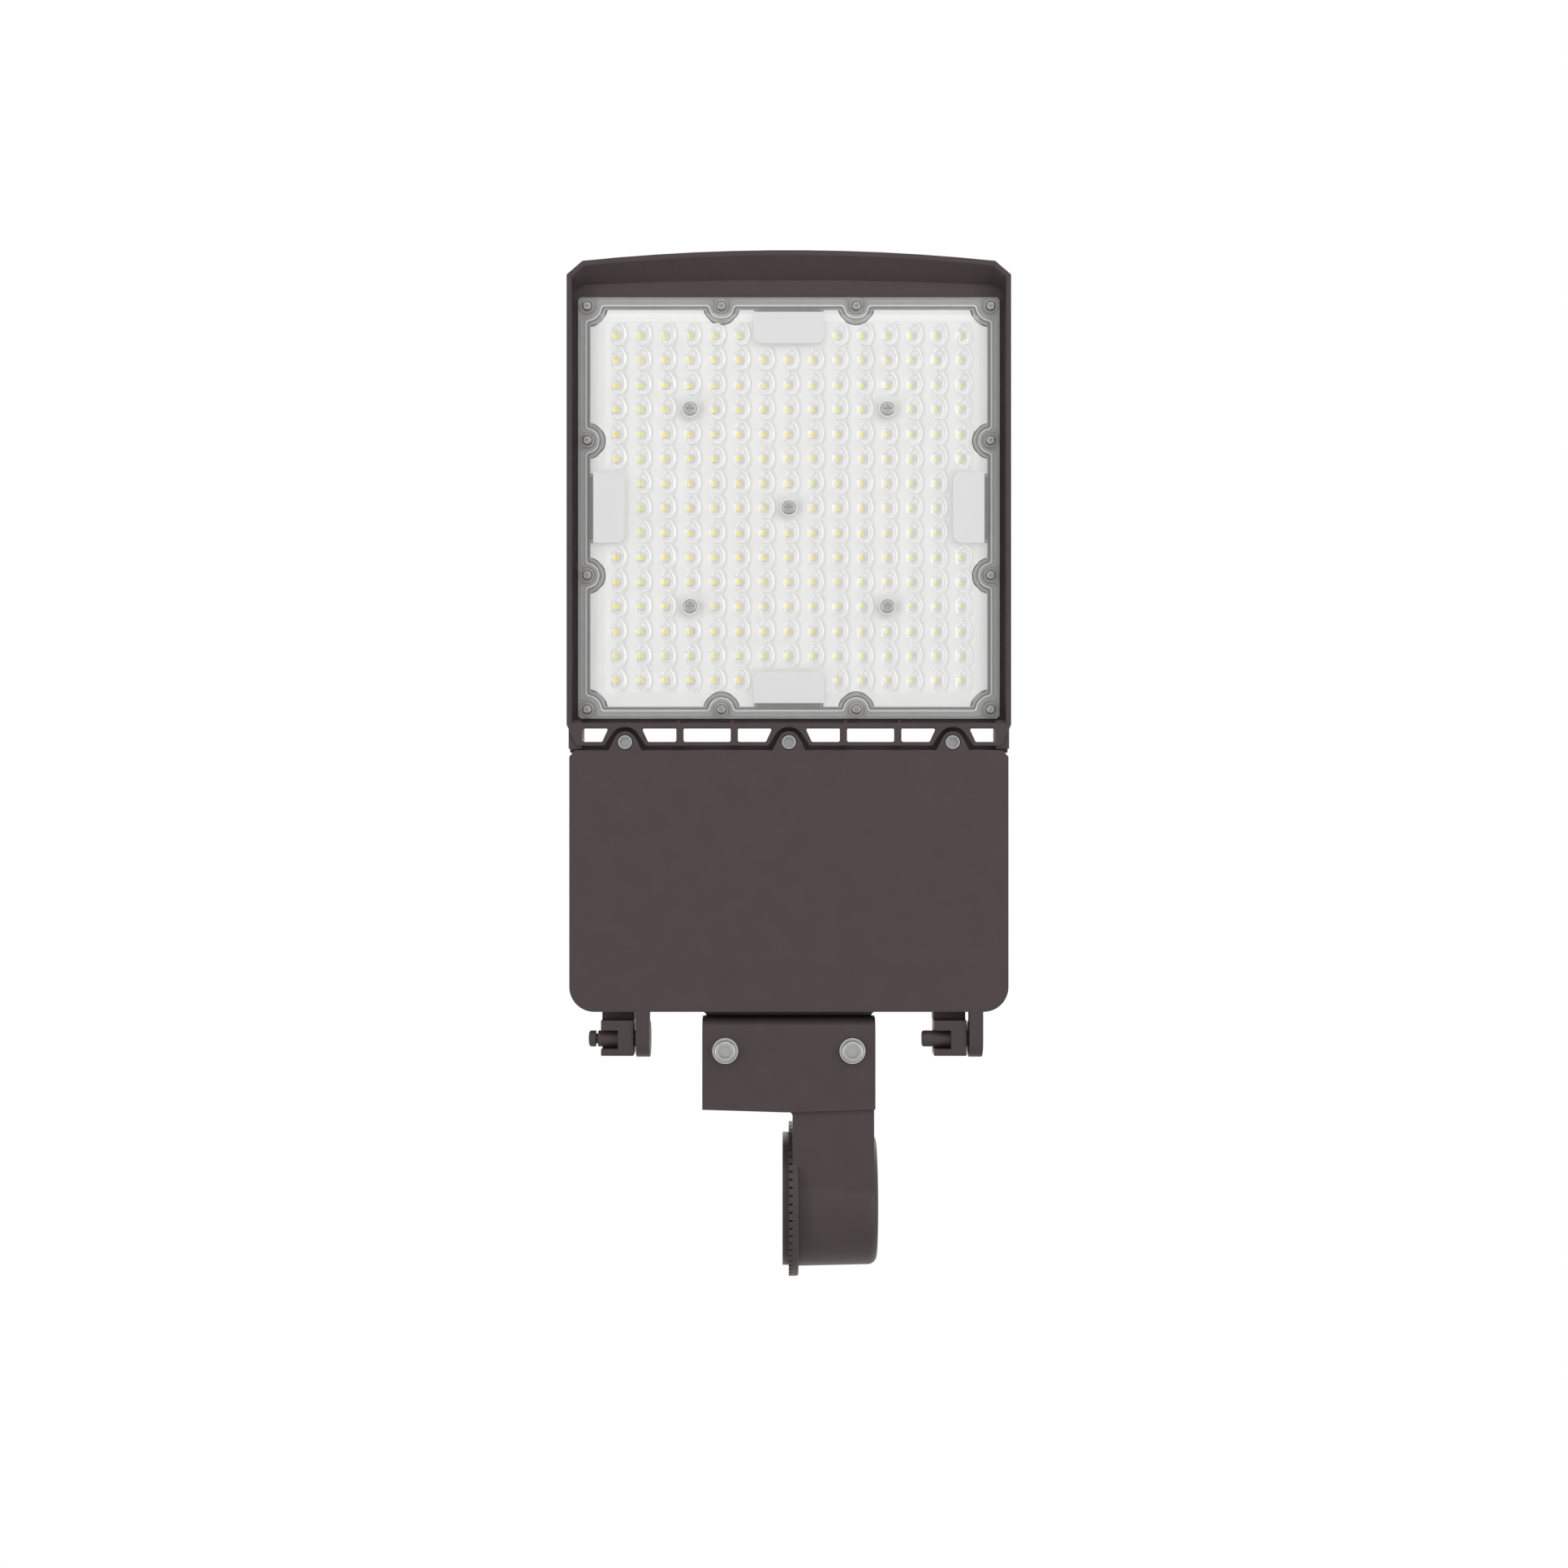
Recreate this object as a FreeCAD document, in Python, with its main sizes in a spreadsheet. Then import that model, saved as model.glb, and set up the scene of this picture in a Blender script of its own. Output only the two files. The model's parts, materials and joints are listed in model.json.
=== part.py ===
import FreeCAD, Part
import math
import os

import Sketcher

# An area light for a pole: a die-cast head with an LED bay and a driver bay, a lift-off door under the
# driver bay, and an arm that ends in one half of a serrated tilting knuckle.
#
# Frame, in millimetres: the origin is on the knuckle's pivot axis, in the plane of its tooth tips.
# +X runs along the pivot axis, from the toothed face into the knuckle. -Y points to the nose of the head.
# +Z is up, and the light shines down. The rim round the lens lies in one plane, knuckle_height below the axis.

# Every driving size: its alias in the sheet, its value and what it is.
SIZES = [
    ("knuckle_height", 48.0, "rim plane up to the knuckle axis"),
    ("knuckle_reach", 128.2, "knuckle axis to the back of the driver bay"),
    # head, in plan
    ("lens_margin", 3.3, "side of the lens plate to the wall of the LED bay"),
    ("rim_wall", 3.2, "wall round the LED bay"),
    ("nose_sagitta", 6.8, "rise of the curved nose"),
    ("nose_corner_run", 10.2, "nose corner, across"),
    ("nose_corner_rise", 8.8, "nose corner, along"),
    ("nose_shelf", 28.1, "lens plate to the tip of the nose"),
    ("heel_corner_run", 6.3, "corner beside the air slots, across"),
    ("heel_corner_rise", 13.5, "corner beside the air slots, along"),
    ("cover_length", 167.8, "door, along"),
    ("cover_gap", 2.8, "door to the slotted strip"),
    ("slot_lip", 2.5, "strip behind the air slots"),
    ("slot_depth", 8.9, "air slots, along"),
    ("bay_wall", 3.3, "wall between the LED bay and the air slots"),
    ("lens_gap", 2.9, "lens plate to that wall"),
    # head, in height above the rim plane
    ("strip_thickness", 3.0, "slotted strip"),
    ("lens_recess", 9.0, "rim plane to the lens flange"),
    ("lens_wall", 2.5, "lens plate"),
    ("lens_step", 1.5, "drop of the optic field below its flange"),
    ("gasket_height", 2.5, "lens gasket"),
    ("base_thickness", 4.0, "base of the heat sink"),
    ("skirt_round", 5.0, "rounding of the head's upper edge"),
    ("fin_top", 50.0, "rim plane to the top of the fins"),
    ("fin_nose", 26.0, "rim plane to the top of the fins at the nose"),
    ("fin_thickness", 2.2, "one fin"),
    ("fin_count", 25.0, "fins"),
    ("fin_margin", 8.5, "side of the head to the outer fin"),
    ("fin_setback", 6.0, "nose corner to the full height of the fins there"),
    ("fin_toe", 8.0, "fall of the fins over the nose"),
    ("web_height", 48.0, "rim plane to the top of the side webs"),
    ("web_depth", 15.0, "depth of the side webs that the air slots show"),
    # nose slope inside the rim
    ("slope_run", 12.9, "slope inside the nose, along"),
    ("slope_sagitta", 3.1, "rise of the slope's upper line"),
    ("slope_corner", 3.8, "corner of the slope's upper line"),
    # air slots, as distances from the middle or from an ear
    ("mullion_inner", 35.0, "middle to the inner mullion"),
    ("mullion_outer", 69.85, "middle to the outer mullion"),
    ("mullion_width", 4.6, "mullion between two slots"),
    ("slot_side", 9.9, "side of the head to the outer slot"),
    ("slot_near", 10.6, "ear to a slot, at its front"),
    ("slot_far", 14.7, "ear to a slot, at its back"),
    ("slot_round", 1.3, "corner of a slot"),
    ("web_rib", 2.2, "rib behind a mullion"),
    ("web_gap", 0.8, "side web to the door"),
    ("web_lean", 4.9, "a side web's upper part, further out than its lower part"),
    ("web_proud", 0.6, "side web beyond the side of the driver bay"),
    # lens plate and what it covers
    ("led_margin", 24.7, "outer LEDs to the edge of the lens plate"),
    ("lens_corner", 3.0, "corner of the lens plate"),
    ("field_wall", 2.0, "wall round the dropped field"),
    ("border", 7.5, "width of the gasket"),
    ("screw_inset", 5.9, "edge of the lens plate to the rim screws"),
    ("screw_spread", 43.5, "rim screws from the middle of a side"),
    ("side_bulge", 11.4, "gasket bulge round a side screw"),
    ("corner_bulge", 12.8, "gasket bulge round a corner screw"),
    ("fit_gap", 0.3, "clearance between parts laid side by side"),
    ("led_pitch", 15.9, "LED grid"),
    ("led_size", 3.0, "LED package"),
    ("led_height", 0.7, "LED package"),
    ("board_thickness", 1.6, "LED board"),
    ("dome_width", 10.2, "one optic, across"),
    ("dome_length", 15.0, "one optic, along"),
    ("dome_height", 4.3, "one optic"),
    ("dome_shift", 1.4, "optic off its LED, sideways"),
    ("tab_width", 45.6, "blank tab"),
    ("tab_depth", 20.4, "blank tab"),
    ("tab_inset", 10.0, "edge of the lens plate to a blank tab"),
    ("tab_round", 5.8, "corner of a blank tab"),
    ("tab_height", 1.0, "blank tab above the field"),
    # fasteners of the lens
    ("rim_head", 5.6, "rim screw head, across"),
    ("rim_shank", 3.0, "rim screw thread, across"),
    ("field_head", 8.5, "field screw head, across"),
    ("field_shank", 3.5, "field screw thread, across"),
    ("head_rise", 1.9, "height of these heads"),
    ("hole_floor", 0.4, "screw holes to the top of the base"),
    ("screw_end", 0.4, "screw ends to the floor of their holes"),
    ("thread_gap", 0.06, "screw thread to its hole"),
    # door
    ("cover_inset", 1.7, "side of the head to the side of the door"),
    ("cover_skin", 3.0, "door skin"),
    ("cover_wall", 3.0, "door side wall"),
    ("cover_depth", 10.0, "door, in height"),
    ("cover_front_corner", 4.1, "front corner of the door"),
    ("cover_rear_corner", 16.0, "rear corner of the door"),
    ("seal_height", 1.4, "door gasket"),
    ("seal_gap", 0.1, "door gasket to the driver bay"),
    ("seal_inset", 0.4, "edge of the door to its gasket"),
    ("seal_overhang", 0.2, "gasket over the door's hollow"),
    ("notch_gap", 0.2, "gasket to an ear"),
    ("ear_pitch", 105.0, "middle ear to a side ear"),
    ("ear_radius", 7.1, "round end of an ear"),
    ("ear_base", 11.4, "half the root of an ear"),
    ("ear_setback", 5.1, "door front to an ear's screw"),
    ("arch_gap", 2.7, "ear to the strip, at its tip"),
    ("arch_base_gap", 2.2, "ear to the strip, at its root"),
    ("sill_thickness", 2.5, "ledge behind the gap in front of the door"),
    ("sill_reach", 2.0, "that ledge under the strip"),
    ("cover_screw_head", 9.3, "door screw head, across"),
    ("cover_screw_rise", 4.0, "height of the door screw head"),
    ("cover_screw_shank", 6.0, "door screw, across"),
    ("cover_screw_socket", 6.0, "its hex socket, across flats"),
    ("cover_screw_round", 0.5, "rounding of its head"),
    ("cover_screw_grip", 11.0, "door screw beyond its ear"),
    ("cover_screw_gap", 0.5, "door screw to its hole in the housing"),
    ("retainer_width", 9.0, "ring that keeps a door screw, across"),
    ("retainer_height", 1.2, "the same, in height"),
    # hinges
    ("hinge_back", 18.3, "back of the driver bay to the hinge axis"),
    ("pin_radius", 5.2, "hinge pin"),
    ("pin_gap", 0.08, "hinge pin to its bore"),
    ("pin_round", 1.6, "rounded end of a hinge pin"),
    ("arm_radius", 11.7, "round end of a door arm, flush with the rim plane"),
    ("block_front", 12.5, "hinge axis to the front of a block"),
    ("block_back", 10.4, "hinge axis to the back of a block"),
    ("block_low", 2.6, "rim plane to a hinge block"),
    ("block_high", 22.5, "rim plane to the top of a hinge block"),
    ("block_round", 2.0, "rounded back of a hinge block"),
    ("channel_width", 11.9, "open channel round a hinge pin"),
    ("channel_length", 10.9, "the same, along the pin"),
    ("block_length", 20.9, "hinge block, along the pin"),
    ("left_block_inset", 41.0, "side of the door to the inner end of the left hinge block"),
    ("right_block_inset", 26.6, "side of the door to the outer end of the right hinge block"),
    ("arm_gap", 1.5, "hinge block to its door arm"),
    ("arm_width", 8.9, "door arm, along the pin"),
    ("left_pin_end", 8.3, "left pin beyond its block"),
    ("right_pin_end", 7.6, "right pin beyond its block"),
    ("groove_from_end", 4.5, "end of the left pin to its groove"),
    ("groove_width", 1.5, "ring groove of the left pin"),
    ("groove_radius", 3.2, "the same, at its bottom"),
    ("hook_arm", 6.5, "height of the arm that carries a hinge block"),
    # driver bay
    ("box_top", 66.0, "rim plane to the top of the driver bay"),
    ("box_wall", 3.0, "wall of the driver bay"),
    ("box_roof", 4.0, "roof of the driver bay"),
    ("box_round", 6.0, "rounding of the driver bay's top edges"),
    ("boss_top", 30.0, "rim plane to the top of a door screw boss"),
    # tongue that carries the arm
    ("tongue_inset", 1.7, "side of the arm plate to the side of the tongue"),
    ("tongue_base", 25.0, "rim plane to the underside of the tongue"),
    ("tongue_top", 46.0, "rim plane to the top of the tongue"),
    ("tongue_end", 66.0, "knuckle axis to the end of the tongue"),
    ("tongue_wall", 4.0, "wall of the tongue"),
    ("tongue_corner", 5.0, "corner of the tongue"),
    ("tongue_round", 3.0, "rounded top of the tongue"),
    ("gusset_flare", 3.4, "gusset beyond the side of the tongue"),
    ("gusset_depth", 4.2, "the same, along"),
    ("lead_hole", 9.0, "radius of the wire hole under the tongue"),
    ("lead_hole_at", 92.0, "knuckle axis to that hole"),
    # arm and knuckle
    ("arm_half", 55.7, "half the width of the arm plate"),
    ("arm_clearance", 4.6, "driver bay to the front of the arm plate"),
    ("arm_back", 63.1, "knuckle axis to the back of the arm plate"),
    ("arm_draft", 1.7, "fall of the arm plate's back edge"),
    ("arm_face", 4.5, "rim plane to the arm plate"),
    ("arm_round", 9.0, "rounded front edge of the arm plate"),
    ("arm_wall", 4.0, "wall of the arm"),
    ("hollow_round", 5.0, "rounded front of its hollow"),
    ("seal_pad", 1.0, "gasket between arm and tongue"),
    ("pad_front", 1.6, "front of the arm plate to that gasket"),
    ("pad_inset", 0.5, "side and end of the tongue to that gasket"),
    ("pad_width", 3.0, "width of that gasket"),
    ("bolt_spread", 40.9, "middle to an arm bolt"),
    ("bolt_at", 102.7, "knuckle axis to the arm bolts"),
    ("bolt_shank", 8.0, "arm bolt, across"),
    ("bolt_head", 13.8, "arm bolt head, across"),
    ("bolt_head_rise", 4.6, "height of the arm bolt head"),
    ("bolt_head_round", 1.2, "rounding of the arm bolt head"),
    ("bolt_end", 1.5, "arm bolt beyond its nut"),
    ("bolt_socket", 8.0, "hex socket of the arm bolt, across flats"),
    ("bolt_clearance", 0.4, "arm bolt to its holes"),
    ("washer_width", 16.8, "arm bolt washer, across"),
    ("washer_height", 1.6, "arm bolt washer"),
    ("washer_gap", 0.2, "arm bolt to its washer"),
    ("seat_depth", 1.2, "counterbore under the washer"),
    ("nut_flats", 13.0, "arm bolt nut, across flats"),
    ("nut_height", 6.5, "arm bolt nut"),
    ("tooth_radius", 50.4, "outside of the toothed ring"),
    ("tooth_height", 2.4, "teeth, along the axis"),
    ("tooth_count", 60.0, "teeth"),
    ("tooth_slot", 1.3, "gap between two teeth"),
    ("pilot_radius", 43.35, "pilot boss"),
    ("pilot_length", 4.1, "pilot boss beyond the tooth tips"),
    ("flange_thickness", 3.9, "flange behind the teeth"),
    ("flange_round", 1.4, "rounded back of the flange"),
    ("drum_radius", 43.9, "drum at the flange"),
    ("drum_end_radius", 42.8, "drum at its end"),
    ("drum_length", 51.5, "drum, along the axis"),
    ("drum_round", 6.0, "rounding of the drum's end"),
    ("pivot_radius", 8.5, "pivot bore"),
    ("pivot_tube", 14.5, "tube round the pivot bore"),
    ("head_pocket", 16.0, "pocket for the pivot bolt's head"),
    ("head_pocket_depth", 12.0, "the same, in depth"),
    ("wireway_radius", 37.0, "annular wireway, outside"),
    ("wireway_floor", 38.0, "tooth tips to the wireway's floor"),
    ("neck_top", 32.0, "rim plane to the top of the neck"),
    ("neck_lift", 3.0, "underside of the drum to the underside of the neck"),
    ("heel_toe", 1.5, "heel of the neck beyond the tooth tips"),
    ("heel_width", 7.5, "heel of the neck, across"),
    ("heel_root", 3.0, "heel of the neck within the plate"),
    ("heel_reach", 6.0, "heel of the neck beyond the plate"),
    ("heel_slant", 2.0, "plate to the slant of the heel"),
    ("neck_bore", 6.5, "radius of the wireway in the neck"),
    ("neck_gap", 1.5, "end of the tongue to the higher part of the neck"),
    ("neck_inset", 0.7, "edge of the arm plate to the side of the neck"),
    # inside the driver bay
    ("driver_length", 190.0, "LED driver"),
    ("driver_width", 62.0, "LED driver"),
    ("driver_height", 36.0, "LED driver"),
    ("driver_front", 24.0, "driver bay front to the LED driver"),
    ("module_round", 2.5, "corner of the driver and the surge module"),
    ("foot_length", 12.0, "fixing foot of the LED driver"),
    ("foot_screw_inset", 10.0, "side of the LED driver to its fixing screws"),
    ("foot_height", 2.0, "the same, in height"),
    ("small_screw", 4.0, "fixing screw, across"),
    ("small_head", 7.4, "fixing screw head, across"),
    ("small_rise", 2.4, "fixing screw head, in height"),
    ("small_bite", 3.0, "fixing screw in the casting"),
    ("surge_length", 58.0, "surge module"),
    ("surge_width", 34.0, "surge module"),
    ("surge_height", 25.0, "surge module"),
    ("surge_foot", 15.0, "width of its feet"),
    ("module_gap", 4.0, "terminal block to the surge module's foot"),
    ("block_width", 54.0, "terminal block"),
    ("block_depth", 22.0, "terminal block"),
    ("block_height", 20.0, "terminal block"),
    ("terminal_at", 10.0, "middle to the terminal block"),
    ("terminal_pitch", 11.0, "one terminal to the next"),
    ("wire_entry", 3.0, "radius of a wire entry"),
    ("wire_level", 8.0, "roof to the wire entries"),
    ("clamp_radius", 2.6, "clamp well of a terminal"),
    ("clamp_depth", 9.0, "the same, in depth"),
    ("terminal_screw_inset", 5.0, "end of the terminal block to its fixing screw"),
    ("field_row", 34.0, "back of the driver bay to the middle of these"),
    ("ground_at", -70.0, "middle to the earth screw"),
    # leads to the LED board
    ("duct_half", 10.0, "half the width of the lead duct"),
    ("duct_height", 19.0, "lead duct, in height"),
    ("duct_wall", 3.0, "wall of the lead duct"),
    ("lead_radius", 1.1, "one lead"),
    ("lead_spread", 1.7, "middle to each lead"),
    ("lead_level", 38.0, "rim plane to the leads in the duct"),
    ("lead_drop", 23.5, "LED bay wall to the leads where they go down"),
    ("gland_radius", 3.5, "gland of the leads"),
    ("gland_flange", 1.0, "lip of a gland beyond its hole"),
    ("gland_lip", 1.2, "lip of a gland beyond its wall"),
    ("connector_width", 14.0, "connector on the LED board"),
    ("connector_depth", 9.0, "the same, along"),
    ("connector_height", 1.1, "the same, in height"),
]


class Size:
    """A number together with the sheet formula that gives it."""

    def __init__(self, formula, number):
        self.formula = formula
        self.number = float(number)

    def joined(self, sign, other, number):
        return Size("(%s %s %s)" % (self.formula, sign, other.formula), number)

    def __add__(self, other):
        other = sized(other)
        return self.joined("+", other, self.number + other.number)

    def __sub__(self, other):
        other = sized(other)
        return self.joined("-", other, self.number - other.number)

    def __mul__(self, other):
        other = sized(other)
        return self.joined("*", other, self.number * other.number)

    def __truediv__(self, other):
        other = sized(other)
        return self.joined("/", other, self.number / other.number)

    def __radd__(self, other):
        return sized(other) + self

    def __rsub__(self, other):
        return sized(other) - self

    def __rmul__(self, other):
        return sized(other) * self

    def __neg__(self):
        return Size("(0 - %s)" % self.formula, -self.number)


def sized(value):
    """The value as a Size."""
    if isinstance(value, Size):
        return value
    return Size("(%r)" % float(value), value)


class Sheet:
    """The sheet's cells, each read as a Size by its alias."""

    def __init__(self, document, sizes):
        cells = document.addObject("Spreadsheet::Sheet", "sizes")
        self.named = {}
        for row, (alias, number, note) in enumerate(sizes, 1):
            cells.set("A%d" % row, alias)
            cells.set("B%d" % row, str(number))
            cells.set("C%d" % row, note)
            cells.setAlias("B%d" % row, alias)
            self.named[alias] = Size("sizes.%s" % alias, number)

    def __getattr__(self, alias):
        return self.named[alias]


doc = FreeCAD.newDocument("area_light")
s = Sheet(doc, SIZES)
doc.recompute()

NODES = []  # every sub-part that is written out
TURNED = {
    "X": FreeCAD.Rotation(FreeCAD.Vector(0, 1, 0), 90),
    "Y": FreeCAD.Rotation(FreeCAD.Vector(1, 0, 0), -90),
    "Z": FreeCAD.Rotation(),
}
NEAR = 0.02  # how close an edge must be to the place it is picked by


# ---------------------------------------------------------------- building helpers


def node(part):
    """Marks a finished sub-part."""
    NODES.append(part)
    return part


def bind(part, formulas):
    """Ties properties of the part to sizes."""
    for prop, size in formulas.items():
        part.setExpression(prop, sized(size).formula)
    return part


def place(part, x, y, z):
    """Ties the part's place to sizes."""
    return bind(part, {"Placement.Base.x": x, "Placement.Base.y": y, "Placement.Base.z": z})


def span(a, b):
    """Two places in rising order."""
    a, b = sized(a), sized(b)
    return (a, b) if a.number <= b.number else (b, a)


def about(middle, width):
    """The two ends of a width that is centred on a place."""
    return span(middle - sized(width) / 2, middle + sized(width) / 2)


def block(name, x, y, z):
    """A box between two places on each axis."""
    box = doc.addObject("Part::Box", name)
    (x0, x1), (y0, y1), (z0, z1) = span(*x), span(*y), span(*z)
    bind(box, {"Length": x1 - x0, "Width": y1 - y0, "Height": z1 - z0})
    return place(box, x0, y0, z0)


def rod(name, radius, axis, start, length):
    """A cylinder that runs along +X, +Y or +Z from its start."""
    cylinder = doc.addObject("Part::Cylinder", name)
    cylinder.Placement.Rotation = TURNED[axis]
    bind(cylinder, {"Radius": radius, "Height": length})
    return place(cylinder, *start)


def cone(name, radius, end_radius, axis, start, length):
    """A cone that runs along +X, +Y or +Z from its start."""
    taper = doc.addObject("Part::Cone", name)
    taper.Placement.Rotation = TURNED[axis]
    bind(taper, {"Radius1": radius, "Radius2": end_radius, "Height": length})
    return place(taper, *start)


def hexagon(name, flats, start, length):
    """A six-sided bar along +Z, sized across its flats."""
    bar = doc.addObject("Part::Prism", name)
    bar.Polygon = 6
    bind(bar, {"Circumradius": flats / math.sqrt(3), "Height": length})
    return place(bar, *start)


def fuse(name, parts):
    """One solid out of several."""
    union = doc.addObject("Part::MultiFuse", name)
    union.Shapes = parts
    union.Refine = True
    return union


def cut(name, base, tools):
    """The base with the tools taken out of it."""
    left = doc.addObject("Part::Cut", name)
    left.Base = base
    left.Tool = tools[0] if len(tools) == 1 else group(name + "_tools", tools)
    left.Refine = True
    return left


def group(name, parts):
    """Separate solids kept as one part."""
    several = doc.addObject("Part::Compound", name)
    several.Links = parts
    return several


def copies(name, master, places):
    """Copies of one part, moved by each of the given places."""
    linked = []
    for number, spot in enumerate(places, 1):
        link = doc.addObject("App::Link", "%s_%d" % (name, number))
        link.LinkedObject = master
        linked.append(place(link, *spot))
    return linked


def rounded(name, base, radius, picked):
    """The base with its picked edges rounded."""
    doc.recompute()
    fillet = doc.addObject("Part::Fillet", name)
    fillet.Base = base
    fillet.Edges = picked_edges(base, radius, picked)
    return fillet


def chamfered(name, base, depth, picked):
    """The base with its picked edges cut off at an angle."""
    doc.recompute()
    chamfer = doc.addObject("Part::Chamfer", name)
    chamfer.Base = base
    chamfer.Edges = picked_edges(base, depth, picked)
    return chamfer


def picked_edges(base, amount, picked):
    """The base's edges that pass the test, as a fillet or chamfer wants them."""
    found = []
    for number, edge in enumerate(base.Shape.Edges, 1):
        if picked(edge.BoundBox):
            found.append((number, sized(amount).number, sized(amount).number))
    if not found:
        raise RuntimeError("no edge of %s was picked" % base.Name)
    return found


def upright(box):
    """True for an edge that stands along Z."""
    return box.XLength < NEAR and box.YLength < NEAR and box.ZLength > NEAR


def flat_at(level):
    """A test for the edges that lie at one height."""
    return lambda box: abs(box.ZMin - level.number) < NEAR and abs(box.ZMax - level.number) < NEAR


def origin_plane(body, role):
    """One of a body's own three planes."""
    return next(f for f in body.Origin.OriginFeatures if f.Role == role)


def sketched(body, name, plane, outline, arcs):
    """A closed outline on a body's plane, every corner tied to the sheet. Its corners run anticlockwise,
    and arcs gives the radius of each side that bulges outwards."""
    sketch = body.newObject("Sketcher::SketchObject", name)
    sketch.AttachmentSupport = [(origin_plane(body, plane), "")]
    sketch.MapMode = "FlatFace"
    corners = [FreeCAD.Vector(sized(u).number, sized(v).number, 0) for u, v in outline]
    count = len(corners)
    for i, start in enumerate(corners):
        end = corners[(i + 1) % count]
        if i in arcs:
            chord = end - start
            outward = FreeCAD.Vector(chord.y, -chord.x, 0).normalize()
            radius = arcs[i].number
            bulge = radius - math.sqrt(radius**2 - chord.Length**2 / 4)
            sketch.addGeometry(Part.Arc(start, (start + end) / 2 + outward * bulge, end), False)
        else:
            sketch.addGeometry(Part.LineSegment(start, end), False)
    for i in range(count):
        sketch.addConstraint(Sketcher.Constraint("Coincident", i, 2, (i + 1) % count, 1))
    for i, (u, v) in enumerate(outline):
        for direction, size in (("DistanceX", sized(u)), ("DistanceY", sized(v))):
            number = sketch.addConstraint(Sketcher.Constraint(direction, i, 1, size.number))
            sketch.setExpression("Constraints[%d]" % number, size.formula)
    for i, radius in arcs.items():
        number = sketch.addConstraint(Sketcher.Constraint("Radius", i, radius.number))
        sketch.setExpression("Constraints[%d]" % number, radius.formula)
    return sketch


def prism(name, plane, outline, low, high, arcs=None):
    """A body padded from one outline, from low to high along its plane's normal."""
    body = doc.addObject("PartDesign::Body", name)
    sketch = sketched(body, name + "_outline", plane, outline, arcs or {})
    bind(sketch, {"AttachmentOffset.Base.z": low})
    pad = body.newObject("PartDesign::Pad", name + "_pad")
    pad.Profile = sketch
    bind(pad, {"Length": high - low})
    return body


def bow_radius(half_chord, sagitta):
    """The radius of an arc of a given chord and rise."""
    return (half_chord * half_chord + sagitta * sagitta) / (sagitta * 2)


# ---------------------------------------------------------------- shared places

rim = -s.knuckle_height


def above(rise):
    """A height above the rim plane."""
    return rim + rise


GRID = 7  # LEDs each side of the middle one
lens_half = s.led_pitch * GRID + s.led_margin
half_width = lens_half + s.lens_margin + s.rim_wall
box_rear = -s.knuckle_reach
box_front = box_rear - s.cover_length
strip_rear = box_front - s.cover_gap
slot_rear = strip_rear - s.slot_lip
slot_front = slot_rear - s.slot_depth
bay_rear = slot_front - s.bay_wall
lens_rear = bay_rear - s.lens_gap
lens_middle = lens_rear - lens_half
lens_front = lens_middle - lens_half
nose_tip = lens_front - s.nose_shelf
nose_end = nose_tip + s.nose_sagitta
ear_row = box_front - s.ear_setback

flange_face = above(s.lens_recess)
flange_back = flange_face + s.lens_wall
bay_floor = flange_back + s.gasket_height
base_top = bay_floor + s.base_thickness
field_face = flange_face - s.lens_step
field_back = flange_back - s.lens_step
board_face = bay_floor - s.board_thickness

cover_top = above(s.cover_depth)
box_mouth = cover_top + s.seal_height + s.seal_gap
box_ceiling = above(s.box_top) - s.box_roof
cover_half = half_width - s.cover_inset
slot_end = half_width - s.slot_side
EARS = (-s.ear_pitch, sized(0), s.ear_pitch)

hinge_row = box_rear + s.hinge_back
hinge_height = above(s.arm_radius)
HINGES = (("left", s.left_block_inset - cover_half), ("right", cover_half - s.right_block_inset))

arm_base = above(s.arm_face)
arm_top = above(s.tongue_base) - s.seal_pad
arm_front = s.knuckle_reach - s.arm_clearance
tongue_half = s.arm_half - s.tongue_inset
tongue_floor = above(s.tongue_base) + s.tongue_wall
BOLTS = (-s.bolt_spread, s.bolt_spread)

lead_row = bay_rear - s.lead_drop
lead_height = above(s.lead_level)
duct_top = lead_height + s.duct_height / 2
duct_base = lead_height - s.duct_height / 2

# the twelve rim screws and the five field screws
screw_edge = lens_half - s.screw_inset
CORNER_SCREWS = [(i * screw_edge, lens_middle + j * screw_edge) for i in (-1, 1) for j in (-1, 1)]
SIDE_SCREWS = []
for side in (-1, 1):
    for step in (-1, 1):
        SIDE_SCREWS.append((side * screw_edge, lens_middle + step * s.screw_spread))
        SIDE_SCREWS.append((step * s.screw_spread, lens_middle + side * screw_edge))
RIM_SCREWS = CORNER_SCREWS + SIDE_SCREWS

FIELD_CELLS = [(0, 0), (-4, -4), (-4, 4), (4, -4), (4, 4)]
FIELD_SCREWS = [(i * s.led_pitch, lens_middle + j * s.led_pitch) for i, j in FIELD_CELLS]


def led_cells():
    """Grid places that hold an LED: not under a field screw or a blank tab."""
    cells = []
    for i in range(-GRID, GRID + 1):
        for j in range(-GRID, GRID + 1):
            under_tab = (abs(i) == GRID and abs(j) <= 1) or (abs(j) == GRID and abs(i) <= 1)
            if not under_tab and (i, j) not in FIELD_CELLS:
                cells.append((i, j))
    return cells


def holes(name, radius, spots, low, high):
    """Upright round holes at plan places."""
    return [rod("%s_%d" % (name, i), radius, "Z", (x, y, low), high - low) for i, (x, y) in enumerate(spots, 1)]


# ---------------------------------------------------------------- housing


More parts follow.
